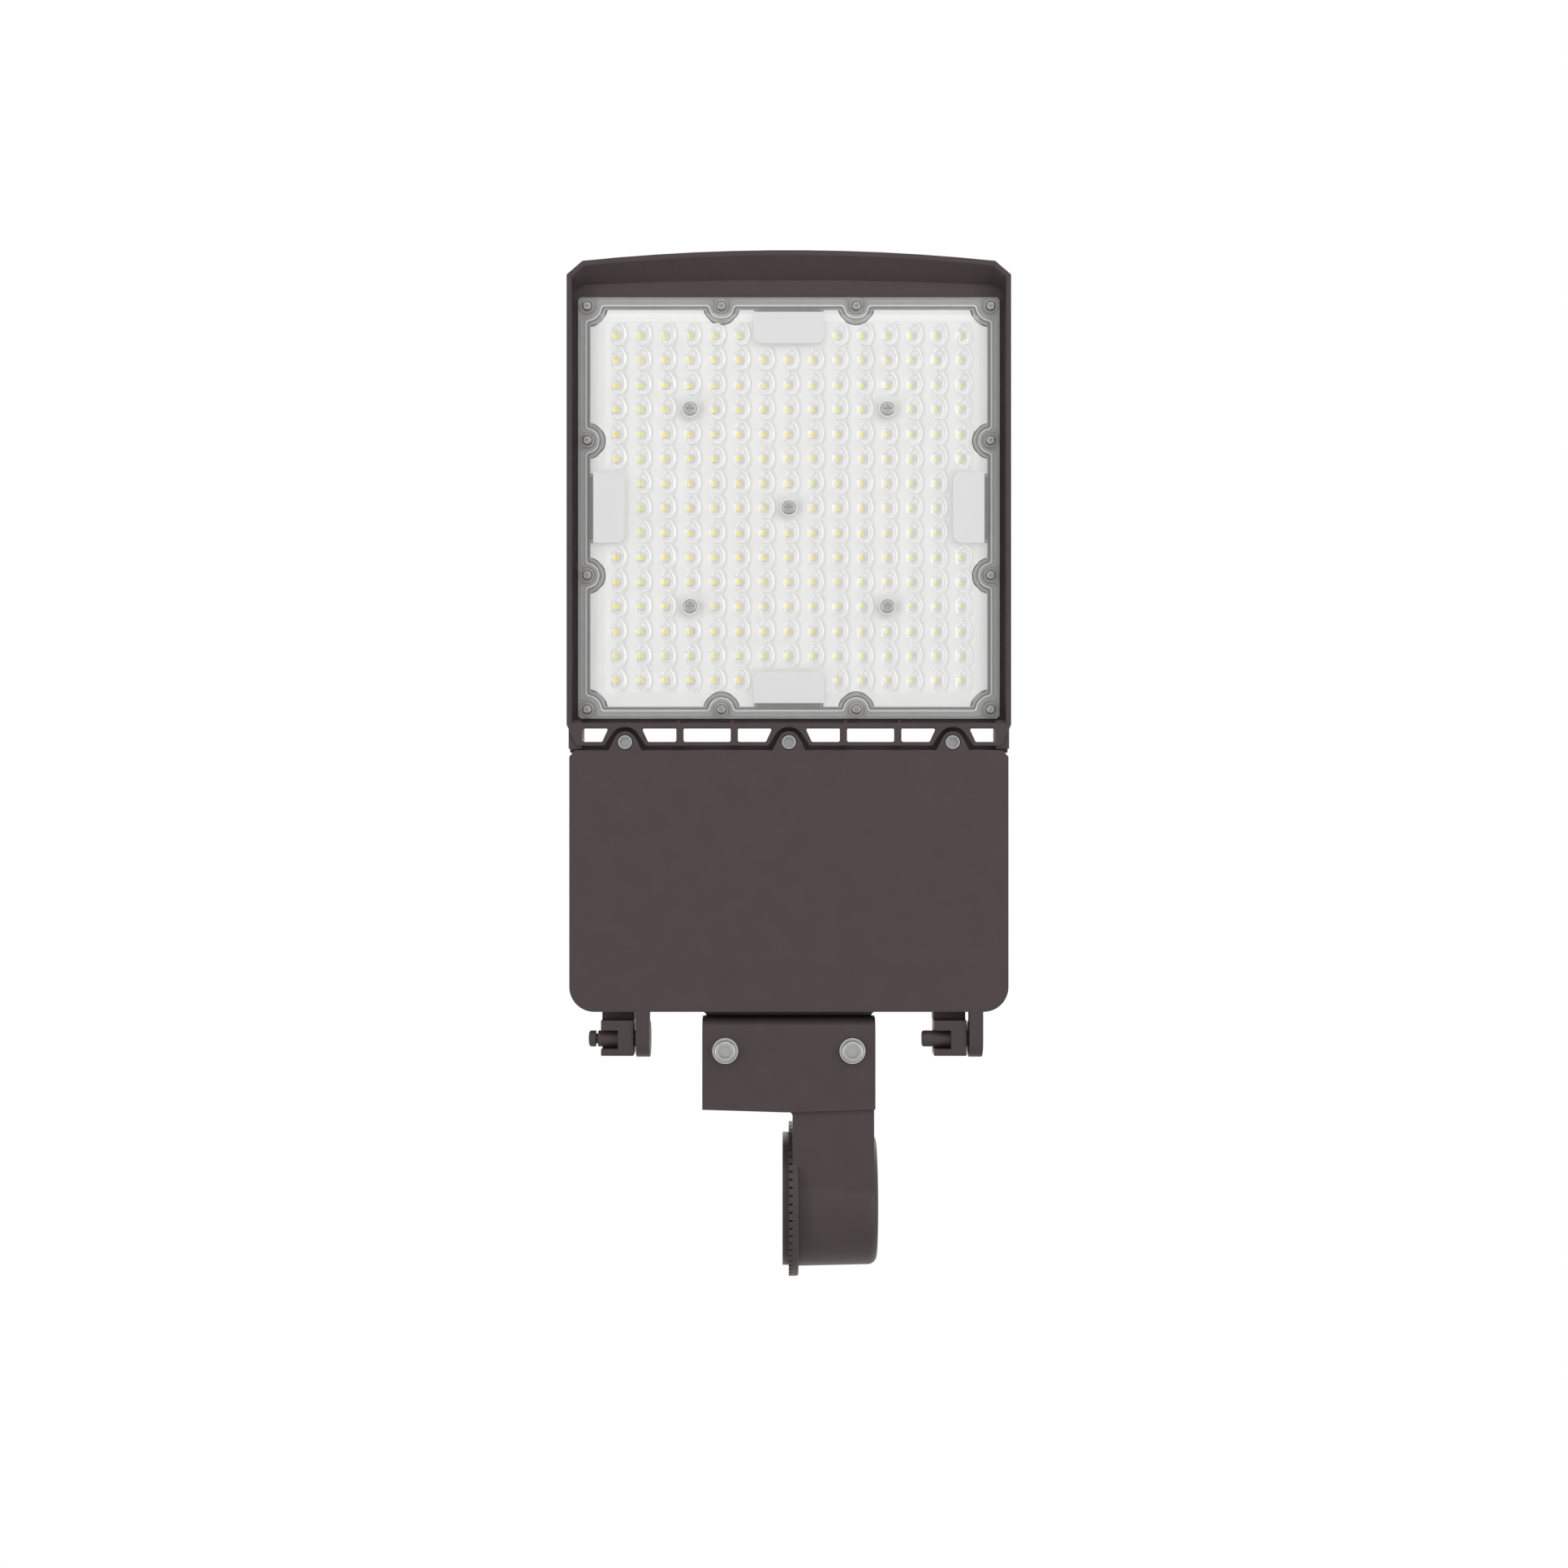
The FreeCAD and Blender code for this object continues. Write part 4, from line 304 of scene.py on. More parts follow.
def lit_through(finish, solid):
    """Lets the lamps shine straight through a clear or frosted solid."""
    through = finish.add("ShaderNodeBsdfTransparent", None, {"Color": (0.96, 0.96, 0.96, 1)})
    finish.show(finish.add("ShaderNodeLightPath", output="Is Shadow Ray"), solid, through)
    return finish.material


def frosted_plastic(name, colour):
    """The etched face of a blank tab, or the dull crown of a moulded ring. Lamps shine through it."""
    finish = Finish(name, Specular_IOR_Level=0.35)
    etch = finish.noise(0.35 * MM, detail=1)
    finish.skin(finish.clouds(colour, 14 * MM, 0.015), etch, 0.1, 0.42, 0.01 * MM)
    return lit_through(finish, finish.solid)


def silicone(name, colour, roughness=0.55):
    """Moulded silicone: faint clouds and a dry skin."""
    finish = Finish(name, Specular_IOR_Level=0.35)
    dry = finish.noise(0.5 * MM, detail=1)
    return finish.skin(finish.clouds(colour, 6 * MM, 0.07, detail=3), dry, 0.12, roughness, 0.02 * MM)


def solder_mask(colour):
    """White solder mask over copper: slight clouds, and the board's weave in the gloss."""
    finish = Finish("solder_mask", Specular_IOR_Level=0.45)
    weave = finish.noise(0.8 * MM, detail=1, where=finish.place(stretch=(1, 3, 1)))
    return finish.skin(finish.clouds(colour, 25 * MM, 0.02), weave, 0.1, 0.32, 0.012 * MM)


def phosphor(colour):
    """Yellow phosphor gel with a grainy surface."""
    finish = Finish("phosphor", Specular_IOR_Level=0.5)
    grain = finish.noise(0.25 * MM)
    return finish.drive(Base_Color=finish.clouds(colour, 0.25 * MM, 0.1), Roughness=grain * 0.1 + 0.3)


def metal(name, colour, roughness, size=1.2 * MM, stretch=(1, 1, 1)):
    """Bare metal with drawn or tumbled marks."""
    finish = Finish(name, Metallic=1.0)
    cloud = finish.noise(8 * MM)
    marks = finish.noise(size, detail=3, rough=0.65, where=finish.place(stretch=stretch))
    base = finish.blend(cloud, shaded(colour, 0.92), shaded(colour, 1.08))
    rough = marks * 0.16 + cloud * 0.08 + (roughness - 0.12)
    return finish.drive(Base_Color=base, Roughness=rough, Normal=finish.bump(marks, 0.01 * MM))


def moulded(name, colour, roughness):
    """Moulded plastic with a spark-eroded grain."""
    finish = Finish(name, Specular_IOR_Level=0.45)
    pits = finish.noise(0.9 * MM)
    return finish.skin(finish.clouds(colour, 20 * MM, 0.05), pits, 0.14, roughness - 0.07, 0.02 * MM)


def lead_sleeve(first, second):
    """Silicone sleeves in two colours, one each side of the middle."""
    finish = Finish("lead_sleeve", Specular_IOR_Level=0.4)
    cloud = finish.noise(3 * MM)
    base = finish.blend(finish.along("X") > 0.0, first, second)
    base = finish.blend(cloud * 0.2, base, (0.5, 0.5, 0.5))
    return finish.drive(Base_Color=base, Roughness=cloud * 0.1 + 0.4)


# ---- mesh helpers


def sharp_edges(bm, width):
    """Hard outer edges whose two faces both reach far enough for a bevel."""
    chosen = []
    for edge in bm.edges:
        if len(edge.link_faces) != 2 or not edge.is_convex or edge.calc_face_angle(0) < CREASE:
            continue
        start = edge.verts[0].co
        along = (edge.verts[1].co - start).normalized()
        if min(reach_from(face, start, along) for face in edge.link_faces) > 2.1 * width:
            chosen.append(edge)
    return chosen


def reach_from(face, start, along):
    """How far a face reaches from a line."""
    return max((v.co - start - along * (v.co - start).dot(along)).length for v in face.verts)


def finished(bm, name, node, materials, crease=CREASE):
    """Makes a mesh object of a bmesh for a CAD node: smooth faces, hard creases, even normals."""
    body, slot = body_of(node), slot_of(node)
    for face in bm.faces:
        face.smooth = True
    for edge in bm.edges:
        edge.smooth = edge.calc_face_angle(0) < crease if len(edge.link_faces) == 2 else True
    mesh = bpy.data.meshes.new(name)
    bm.to_mesh(mesh)
    bm.free()
    piece = linked(name, mesh)
    for material in materials:
        mesh.materials.append(material)
    even = piece.modifiers.new("even", "WEIGHTED_NORMAL")
    even.keep_sharp = True
    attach(piece, body)
    return piece


def linked(name, data):
    """A new object in the scene."""
    made = bpy.data.objects.new(name, data)
    bpy.context.scene.collection.objects.link(made)
    return made


def bevel(bm, edges, width, segments):
    """Rounds edges evenly."""
    bmesh.ops.bevel(bm, geom=edges, offset=width, segments=segments, profile=0.5, affect="EDGES", material=-1)


def joined_copy(node):
    """A CAD node's mesh with its loose triangles joined."""
    bm = bmesh.new()
    bm.from_mesh(frame["nodes"][node].data)
    bmesh.ops.remove_doubles(bm, verts=bm.verts, dist=2e-6)
    return bm


def body_of(node):
    """The body that a CAD node rides on."""
    bodies = frame["record"]["behaviour"]["bodies"]
    return next(name for name, members in bodies.items() if node in members)


def slot_of(node):
    """The record's material slot of a CAD node."""
    return next(row["material_slot"] for row in frame["record"]["subparts"] if row["node"] == node)


def dressed(node, material, edge=0.0, segments=2, crisp=None):
    """A node's copy with its sharp edges softened, but not the crisp ones, which stands for the node."""
    bm = joined_copy(node)
    if edge:
        bmesh.ops.dissolve_degenerate(bm, edges=bm.edges, dist=1e-6)
        bmesh.ops.dissolve_limit(bm, angle_limit=math.radians(0.8), verts=bm.verts, edges=bm.edges)
        chosen = [e for e in sharp_edges(bm, edge) if not (crisp and crisp(e))]
        bevel(bm, chosen, edge, segments)
    piece = finished(bm, node + "_finished", node, [material])
    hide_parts(node)
    return piece


def loop_of(bm, points, level):
    """A closed loop of edges through plan points at one height."""
    verts = [bm.verts.new((x, y, level)) for x, y in points]
    return [bm.edges.new((a, b)) for a, b in zip(verts, verts[1:] + verts[:1])]


# ---- settings


def size(name, use, value):
    return bpy.props.FloatProperty(name=name, description=use, default=value, unit="LENGTH", precision=5)


def share(name, use, value):
    return bpy.props.FloatProperty(name=name, description=use, default=value, min=0, max=4)


def paint(name, use, value):
    return bpy.props.FloatVectorProperty(name=name, description=use, default=value, subtype="COLOR", size=3,
                                         min=0, max=1)


class CoatSettings(bpy.types.PropertyGroup):
    colour: paint("Colour", "Colour of the powder coat", (0.066, 0.0495, 0.0500))
    roughness: share("Roughness", "Roughness of the coat", 0.50)
    sheen: share("Sheen", "Strength of its reflections", 0.25)
    grain: size("Grain", "Size of the coat's grain", 0.45 * MM)
    mottle: size("Mottle", "Size of the coat's clouds", 16 * MM)
    depth: size("Depth", "Depth of the orange peel", 0.03 * MM)
    edge: size("Edge", "Softening of the casting's edges", 0.45 * MM)


class OpticSettings(bpy.types.PropertyGroup):
    dome_width: size("Dome width", "One optic, across", 10.2 * MM)
    dome_length: size("Dome length", "One optic, along", 15.2 * MM)
    dome_shift: size("Dome shift", "Optic off its LED", 1.4 * MM)
    dome_wall: share("Dome wall", "Share of an optic's height that is its steep wall", 0.21)
    wall: size("Wall", "Thickness of the plate", 2.5 * MM)
    step: size("Step", "Drop of the field below the flange", 1.5 * MM)
    index: share("Index", "Refractive index", 1.49)
    # Painted shade in an optic's glass: its outline and its side, middle, lower and glass shades.
    outline: share("Outline", "Dark line round an optic", 0.30)
    side_shade: share("Side shade", "Soft shade beside an optic", 0.5)
    middle_shade: share("Middle shade", "Darker glass over the LED", 0.26)
    lower_shade: share("Lower shade", "Darker glass towards the arm", 0.28)
    glass_shade: share("Glass shade", "Darkness of an optic's glass", 0.20)
    # Painted glow: how much of the LED's yellow is painted into its optic's glass, and in what colour.
    glow: share("Glow", "Share of the LED's colour seen in its optic", 0.10)
    glow_colour: paint("Glow colour", "The LED's colour in its optic", (0.95, 0.85, 0.35))
    # Each field screw's collar is a pale moulded ring, widened and lightened past the real one so that it
    # covers the screw's shadow on the board: partly real, partly painted light.
    collar_inner: size("Collar inside", "Inner radius of a field screw's collar", 4.27 * MM)
    collar_outer: size("Collar outside", "Its outer radius", 5.7 * MM)
    collar_rise: size("Collar rise", "Its height", 0.4 * MM)
    # The clear plastic is tinted greyer than the optics' plastic, so the flange and slope round the field look
    # darker: painted shade.
    colour: paint("Colour", "Tint of the clear plastic", (0.92, 0.92, 0.917))
    optic_colour: paint("Optic colour", "Tint of the optics", (0.99, 0.99, 0.987))
    tab_colour: paint("Tab colour", "Colour of the frosted tabs", (0.73, 0.73, 0.73))
    ring_colour: paint("Ring colour", "Colour of the rings round the rim screws", (0.46, 0.46, 0.46))
    collar_colour: paint("Collar colour", "Colour of the field screws' collars", (0.78, 0.78, 0.78))


class SealSettings(bpy.types.PropertyGroup):
    colour: paint("Seal", "Colour of the lens gasket", (0.33, 0.33, 0.33))
    border_colour: paint("Border", "Colour of its border on the dark casting", (0.285, 0.272, 0.268))
    # The ridge and the bead are painted lighter than the seal: painted highlights. The bead's light grey
    # paints the glint of the lens's step over it.
    ridge_highlight_colour: paint("Ridge", "Colour of the low ridge", (0.41, 0.41, 0.41))
    bead_highlight_colour: paint("Bead", "Colour of the bead pressed on the lens", (0.62, 0.62, 0.62))
    # The groove is painted darker than the seal: painted shade.
    groove_shade_colour: paint("Groove", "Colour of the groove beside the bead", (0.215, 0.215, 0.215))
    plate_corner: size("Plate corner", "Rounded corner of the plate", 3.0 * MM)
    screw_inset: size("Screw inset", "Edge of the plate to the rim screws", 5.9 * MM)
    screw_spread: size("Screw spread", "Rim screws from the middle of a side", 43.5 * MM)


class StageSettings(bpy.types.PropertyGroup):
    lens: bpy.props.FloatProperty(name="Lens", description="Focal length in millimetres", default=50.0)
    sensor: bpy.props.FloatProperty(name="Sensor", description="Sensor side in millimetres", default=36.0)
    floor_level: size("Floor", "Height of the floor", -2.15)
    floor_size: size("Floor size", "Half a side of the floor", 30.0)
    floor_white: share("Floor white", "White that the floor shows to the camera", 0.93)
    floor_share: share("Floor share", "Share of that white", 0.7)
    world: share("World", "Light of the surroundings", 0.42)
    strength: share("Lamps", "Strength of the lamps", 1.10)


# ---- lens plate


ROW = range(-GRID, GRID + 1)
CELLS = [(column, row) for column in ROW for row in ROW]


def holds_led(cell):
    """Whether a grid place holds an LED: not under a field screw or a blank tab."""
    near, far = sorted(map(abs, cell))
    return not (far == GRID and near <= 1) and cell not in FIELD_CELLS


CELL_STEPS = 5  # segments along a cell's side
CELL_POINTS = 4 * CELL_STEPS
CAP = 0.985  # width of an optic's cap over the optic's own
CLEAR, OPTIC, COLLAR = range(3)  # the plate's finishes


def square_border():
    """A cell's border with its corners: the steps along a side are even."""
    half = PITCH / 2
    points = []
    for turn in range(4):
        quarter = Matrix.Rotation(turn * math.pi / 2, 2)
        for i in range(CELL_STEPS):
            points.append(tuple(quarter @ Vector((half, half * (2 * i / CELL_STEPS - 1)))))
    return points


def ring_points(centre_x, half_width, half_length):
    """An ellipse whose points face the steps of a cell's border."""
    angles = [math.tau * i / CELL_POINTS - math.pi / 4 for i in range(CELL_POINTS)]
    return [(centre_x + half_width * math.cos(a), half_length * math.sin(a)) for a in angles]


def domed_cell(optics, level, rise, rings):
    """One cell of the field with its optic: a short steep wall and a rounded cap."""
    bm = bmesh.new()
    last = loop_of(bm, square_border(), level)
    wall = rise * optics.dome_wall
    steps = [(1.0, 0.0)]
    for i in range(rings):
        angle = math.pi / 2 * i / rings
        steps.append((CAP * math.cos(angle), wall + (rise - wall) * math.sin(angle)))
    for shrink, height in steps:
        half_width, half_length = optics.dome_width / 2 * shrink, optics.dome_length / 2 * shrink
        edges = loop_of(bm, ring_points(optics.dome_shift, half_width, half_length), level + height)
        bmesh.ops.bridge_loops(bm, edges=last + edges)
        last = edges
    tip = bm.verts.new((optics.dome_shift, 0, level + rise))
    for edge in last:
        bm.faces.new((*edge.verts, tip))
    bmesh.ops.recalc_face_normals(bm, faces=bm.faces)
    for face in bm.faces:
        face.material_index = OPTIC
    return bm


def plain_cell(level):
    """One flat cell of a sheet."""
    bm = bmesh.new()
    bm.faces.new([bm.verts.new((x, y, level)) for x, y in square_border()])
    return bm


def collared_cell(level, inner, outer, rise):
    """One cell with a low collar round a screw's head."""
    bm = bmesh.new()
    last = loop_of(bm, square_border(), level)
    for radius, height in ((outer, 0), (outer - 0.25 * MM, rise), (inner + 0.3 * MM, rise), (inner, 0)):
        edges = loop_of(bm, ring_points(0, radius, radius), level + height)
        for face in bmesh.ops.bridge_loops(bm, edges=last + edges)["faces"]:
            face.material_index = COLLAR if radius < outer else CLEAR
        last = edges
    bm.faces.new([edge.verts[0] for edge in last])
    return bm


def place_copy(whole, piece, place):
    """Copies a mesh into the whole, moved and turned."""
    mesh = bpy.data.meshes.new("copy")
    piece.to_mesh(mesh)
    mesh.transform(place)
    whole.from_mesh(mesh)
    bpy.data.meshes.remove(mesh)


def plate_sides():
    """A placement for each side of the plate: quarter turns about its middle."""
    for turn in range(4):
        yield Matrix.Translation((0, LENS_MIDDLE, 0)) @ Matrix.Rotation(turn * math.pi / 2, 4, "Z")


def tile(whole, cell, column, row):
    """Copies a cell into the whole at one grid place."""
    place_copy(whole, cell, Matrix.Translation((column * PITCH, LENS_MIDDLE + row * PITCH, 0)))


def rim_screw_places(seals):
    """Where the screws round the plate stand."""
    reach = LENS_HALF - seals.screw_inset
    for turn in range(4):
        quarter = Matrix.Rotation(turn * math.pi / 2, 2)
        for along in (-seals.screw_spread, seals.screw_spread, reach):
            x, y = quarter @ Vector((along, -reach))
            yield x, LENS_MIDDLE + y


def spun_ring(profile, steps):
    """A ring whose section is given as radius and level."""
    bm = bmesh.new()
    verts = [bm.verts.new((radius, 0, level)) for radius, level in profile]
    edges = [bm.edges.new(pair) for pair in zip(verts, verts[1:] + verts[:1])]
    bmesh.ops.spin(bm, geom=verts + edges, axis=(0, 0, 1), angle=math.tau, steps=steps, use_merge=True)
    bmesh.ops.recalc_face_normals(bm, faces=bm.faces)
    return bm


def field_of_cells(domed, plain, collared):
    """The square field of cells, with an optic over each LED."""
    whole = bmesh.new()
    for place in CELLS:
        cell = domed if holds_led(place) else collared if place in FIELD_CELLS else plain
        tile(whole, cell, *place)
    bmesh.ops.remove_doubles(whole, verts=whole.verts, dist=1e-6)
    return whole


def widened(bm, edges, half, level):
    """Extrudes a square border outwards or inwards to a new half width and level."""
    grown = bmesh.ops.extrude_edge_only(bm, edges=edges)["geom"]
    verts = [g for g in grown if isinstance(g, bmesh.types.BMVert)]
    reach = max(abs(v.co.x) for v in verts)
    for vert in verts:
        vert.co.x *= half / reach
        vert.co.y = LENS_MIDDLE + (vert.co.y - LENS_MIDDLE) * half / reach
        vert.co.z = level
    return [g for g in grown if isinstance(g, bmesh.types.BMEdge)]


def clear_plate(optics, corner):
    """The plate as one closed skin: optics below, flat above, and the flange round them."""
    field_face = FLANGE_BACK - optics.wall - optics.step
    field_back = FLANGE_BACK - optics.step
    flange_face = FLANGE_BACK - optics.wall
    drop = LENS_LOW.z - field_face
    below = field_of_cells(
        domed_cell(optics, field_face, drop, 5),
        plain_cell(field_face),
        collared_cell(field_face, optics.collar_inner, optics.collar_outer, -optics.collar_rise),
    )
    border = [e for e in below.edges if e.is_boundary]
    flange, back_flange, slope, chamfer = 12.2 * MM, 14.6 * MM, 2.0 * MM, 0.4 * MM
    for inset, level in (
        (flange + slope, field_face),
        (flange, flange_face),
        (chamfer, flange_face),
        (0, flange_face + chamfer),
        (0, FLANGE_BACK),
        (back_flange, FLANGE_BACK),
        (back_flange + slope, field_back),
    ):
        border = widened(below, border, LENS_HALF - inset, level)
    bmesh.ops.holes_fill(below, edges=border, sides=0)
    grid_half = PITCH * (GRID + 0.5)
    for face in below.faces:
        middle = face.calc_center_median()
        outside = max(abs(middle.x), abs(middle.y - LENS_MIDDLE)) > grid_half
        if face.material_index == OPTIC and (outside or middle.z > field_face + 0.1 * MM):
            face.material_index = CLEAR
    corners = [
        e for e in below.edges
        if all(abs(abs(v.co.x) - LENS_HALF) < 1e-6 and abs(abs(v.co.y - LENS_MIDDLE) - LENS_HALF) < 1e-6
               for v in e.verts)
    ]
    bevel(below, corners, corner, 5)
    bmesh.ops.recalc_face_normals(below, faces=below.faces)
    return below


def rounded_slab(bm, low, high, radius, segments, rim_round=0.0):
    """A box between two corners with upright edges rounded, and its lower rim softened."""
    made = bmesh.ops.create_cube(bm, size=1)["verts"]
    for vert in made:
        vert.co = [top if place > 0 else bottom for place, bottom, top in zip(vert.co, low, high)]
    edges = {e for v in made for e in v.link_edges}
    upright = [e for e in edges if abs(e.verts[0].co.z - e.verts[1].co.z) > 1e-9]
    bevel(bm, upright, radius, segments)
    if rim_round:
        rim = [e for e in bm.edges if all(abs(v.co.z - low[2]) < 1e-9 for v in e.verts)
               and e.calc_face_angle(0) > 0.5]
        bevel(bm, rim, rim_round, 3)


class LIGHT_OT_lens(bpy.types.Operator):
    """Build the clear plate with its optics and the four frosted tabs"""

    bl_idname = "area_light.lens"
    bl_label = "Lens plate"

    tab_width: size("Tab width", "Blank tab, along the edge", 45.6 * MM)
    tab_depth: size("Tab depth", "Blank tab, inwards", 20.4 * MM)
    tab_inset: size("Tab inset", "Edge of the plate to a tab", 10.0 * MM)
    tab_rise: size("Tab rise", "Tab beyond the field", 0.4 * MM)
    tab_corner: size("Tab corner", "Rounding of a tab's inner corners", 5.8 * MM)
    ring_radius: size("Ring radius", "Moulded ring round a rim screw", 4.05 * MM)
    ring_width: size("Ring width", "Width of that ring", 0.5 * MM)

    def execute(self, context):
        optics, seals = context.scene.area_light_optics, context.scene.area_light_seals
        glass = [clear_plastic("clear_plastic", optics.index, optics.colour),
                 clear_plastic("optic_plastic", optics.index, optics.optic_colour, optics),
                 frosted_plastic("collar_plastic", optics.collar_colour)]
        plate = finished(clear_plate(optics, seals.plate_corner), "lens_plate_clear", "lens_plate", glass)
        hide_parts("lens_plate")
        whole = bmesh.new()
        tab = self.make_tab(FLANGE_BACK - optics.wall - optics.step)
        for side in plate_sides():
            place_copy(whole, tab, side)
        tab.free()
        finished(whole, "lens_tabs_frosted", "lens_plate",
                 [frosted_plastic("frosted_plastic", optics.tab_colour)])
        self.add_screw_rings(seals, optics)
        return {"FINISHED"}

    def make_tab(self, field_face):
        """A blank tab with rounded inner corners and a straight outer side."""
        tab = bmesh.new()
        far, wide = LENS_HALF - self.tab_inset, self.tab_width / 2
        rounded_slab(tab, (-wide, far - self.tab_depth, field_face - self.tab_rise),
                     (wide, far + self.tab_corner, field_face - 0.05 * MM), self.tab_corner, 6, 0.15 * MM)
        cut = bmesh.ops.bisect_plane(tab, geom=tab.verts[:] + tab.edges[:] + tab.faces[:], clear_outer=True,
                                     plane_co=(0, far, 0), plane_no=(0, 1, 0))["geom_cut"]
        bmesh.ops.holes_fill(tab, edges=[g for g in cut if isinstance(g, bmesh.types.BMEdge)], sides=0)
        return tab

    def add_screw_rings(self, seals, optics):
        """The low moulded ring round each rim screw."""
        face = FLANGE_BACK - optics.wall
        foot, shoulder, crown = face + 0.05 * MM, face - 0.1 * MM, face - 0.25 * MM
        half = self.ring_width / 2
        top = half * 0.4
        section = [(-half, foot), (-half, shoulder), (-top, crown)]
        section += [(-out, level) for out, level in reversed(section)]
        ring = spun_ring([(self.ring_radius + out, level) for out, level in section], 28)
        whole = bmesh.new()
        for x, y in rim_screw_places(seals):
            place_copy(whole, ring, Matrix.Translation((x, y, 0)))
        ring.free()
        dull = frosted_plastic("ring_plastic", optics.ring_colour)
        finished(whole, "lens_screw_rings", "lens_plate", [dull])


# ---- lens gasket


BULGE_STEPS = 6
# RIDGE and BEAD are painted lighter, painted highlights; GROOVE is painted darker, painted shade.
SEAL, BORDER, RIDGE, BEAD, GROOVE = range(5)  # the gasket's finishes


def seal_path(row, seals, straight=False):
    """A loop that follows the plate's edge at an inset and bulges inwards round each rim screw.

    Laid straight, the same points lie evenly on the plate's edge.
    """
    inset, side_radius, corner_radius, fillet, lobe = (value * MM for value in row)
    gap = 0.1 * MM
    side = []  # along the side from its middle, and in from the edge
    for middle in (-seals.screw_spread, seals.screw_spread):
        detour = bulge(middle, seals.screw_inset, side_radius, fillet, inset)
        side += laid_straight(detour, gap) if straight else detour
    detour = corner_bulge(seals.screw_inset, corner_radius, fillet, inset, lobe)
    if straight:
        detour = laid_round(detour, gap, seals.plate_corner)
    side += [(LENS_HALF - u, v) for u, v in detour]
    points = []
    for turn in range(4):
        rotation = Matrix.Rotation(turn * math.pi / 2, 2)
        for u, v in side:
            x, y = rotation @ Vector((u, v - LENS_HALF))
            points.append((x, LENS_MIDDLE + y))
    return points


def arc(centre, radius, start, end, steps):
    """Points along an arc, both ends included."""
    angles = [start + (end - start) * i / steps for i in range(steps + 1)]
    return [(centre[0] + radius * math.cos(a), centre[1] + radius * math.sin(a)) for a in angles]


def bulge(middle, depth, radius, fillet, inset):
    """The detour round a screw in the middle of a side: fillet, bulge, fillet."""
    lift = inset + fillet - depth
    across = math.sqrt((radius + fillet) ** 2 - lift**2)
    lean = math.atan2(lift, across)  # where the fillet meets the bulge, seen from the screw
    first = arc((middle - across, inset + fillet), fillet, -math.pi / 2, -lean, BULGE_STEPS)
    main = arc((middle, depth), radius, math.pi - lean, lean, BULGE_STEPS * 2)
    last = arc((middle + across, inset + fillet), fillet, math.pi + lean, 3 * math.pi / 2, BULGE_STEPS)
    return first + main[1:-1] + last


def corner_bulge(depth, radius, fillet, inset, lobe):
    """The detour round a corner screw, as places from the corner along two sides, lobed in the middle."""
    lift = inset + fillet - depth
    across = math.sqrt((radius + fillet) ** 2 - lift**2)
    lean = math.atan2(lift, across)
    first = arc((depth + across, inset + fillet), fillet, -math.pi / 2, -math.pi + lean, BULGE_STEPS)
    main = arc((depth, depth), radius, lean, math.pi / 2 - lean, BULGE_STEPS * 2)
    far = arc((depth, depth), radius + lobe, lean, math.pi / 2 - lean, BULGE_STEPS * 2)
    main[BULGE_STEPS - 3:BULGE_STEPS + 4] = far[BULGE_STEPS - 3:BULGE_STEPS + 4]
    last = arc((inset + fillet, depth + across), fillet, -math.pi / 2 - lean, -math.pi, BULGE_STEPS)
    return first + main[1:-1] + last


def laid_straight(detour, gap):
    """A side's detour laid evenly along the plate's edge."""
    start, end = detour[0][0], detour[-1][0]
    last = len(detour) - 1
    return [(start + (end - start) * i / last, gap) for i in range(last + 1)]


def laid_round(detour, gap, radius):
    """A corner's detour laid evenly round the plate's corner."""
    reach = detour[0][0]
    last = len(detour) - 1
    points = []
    for i in range(last + 1):
        along = reach * (1 - 2 * i / last)
        if abs(along) < radius:
            angle = (along / radius + 1) * math.pi / 4
            inner = radius - gap
            points.append((radius - inner * math.cos(angle), radius - inner * math.sin(angle)))
        else:
            points.append((along, gap) if along > 0 else (gap, -along))
    return points


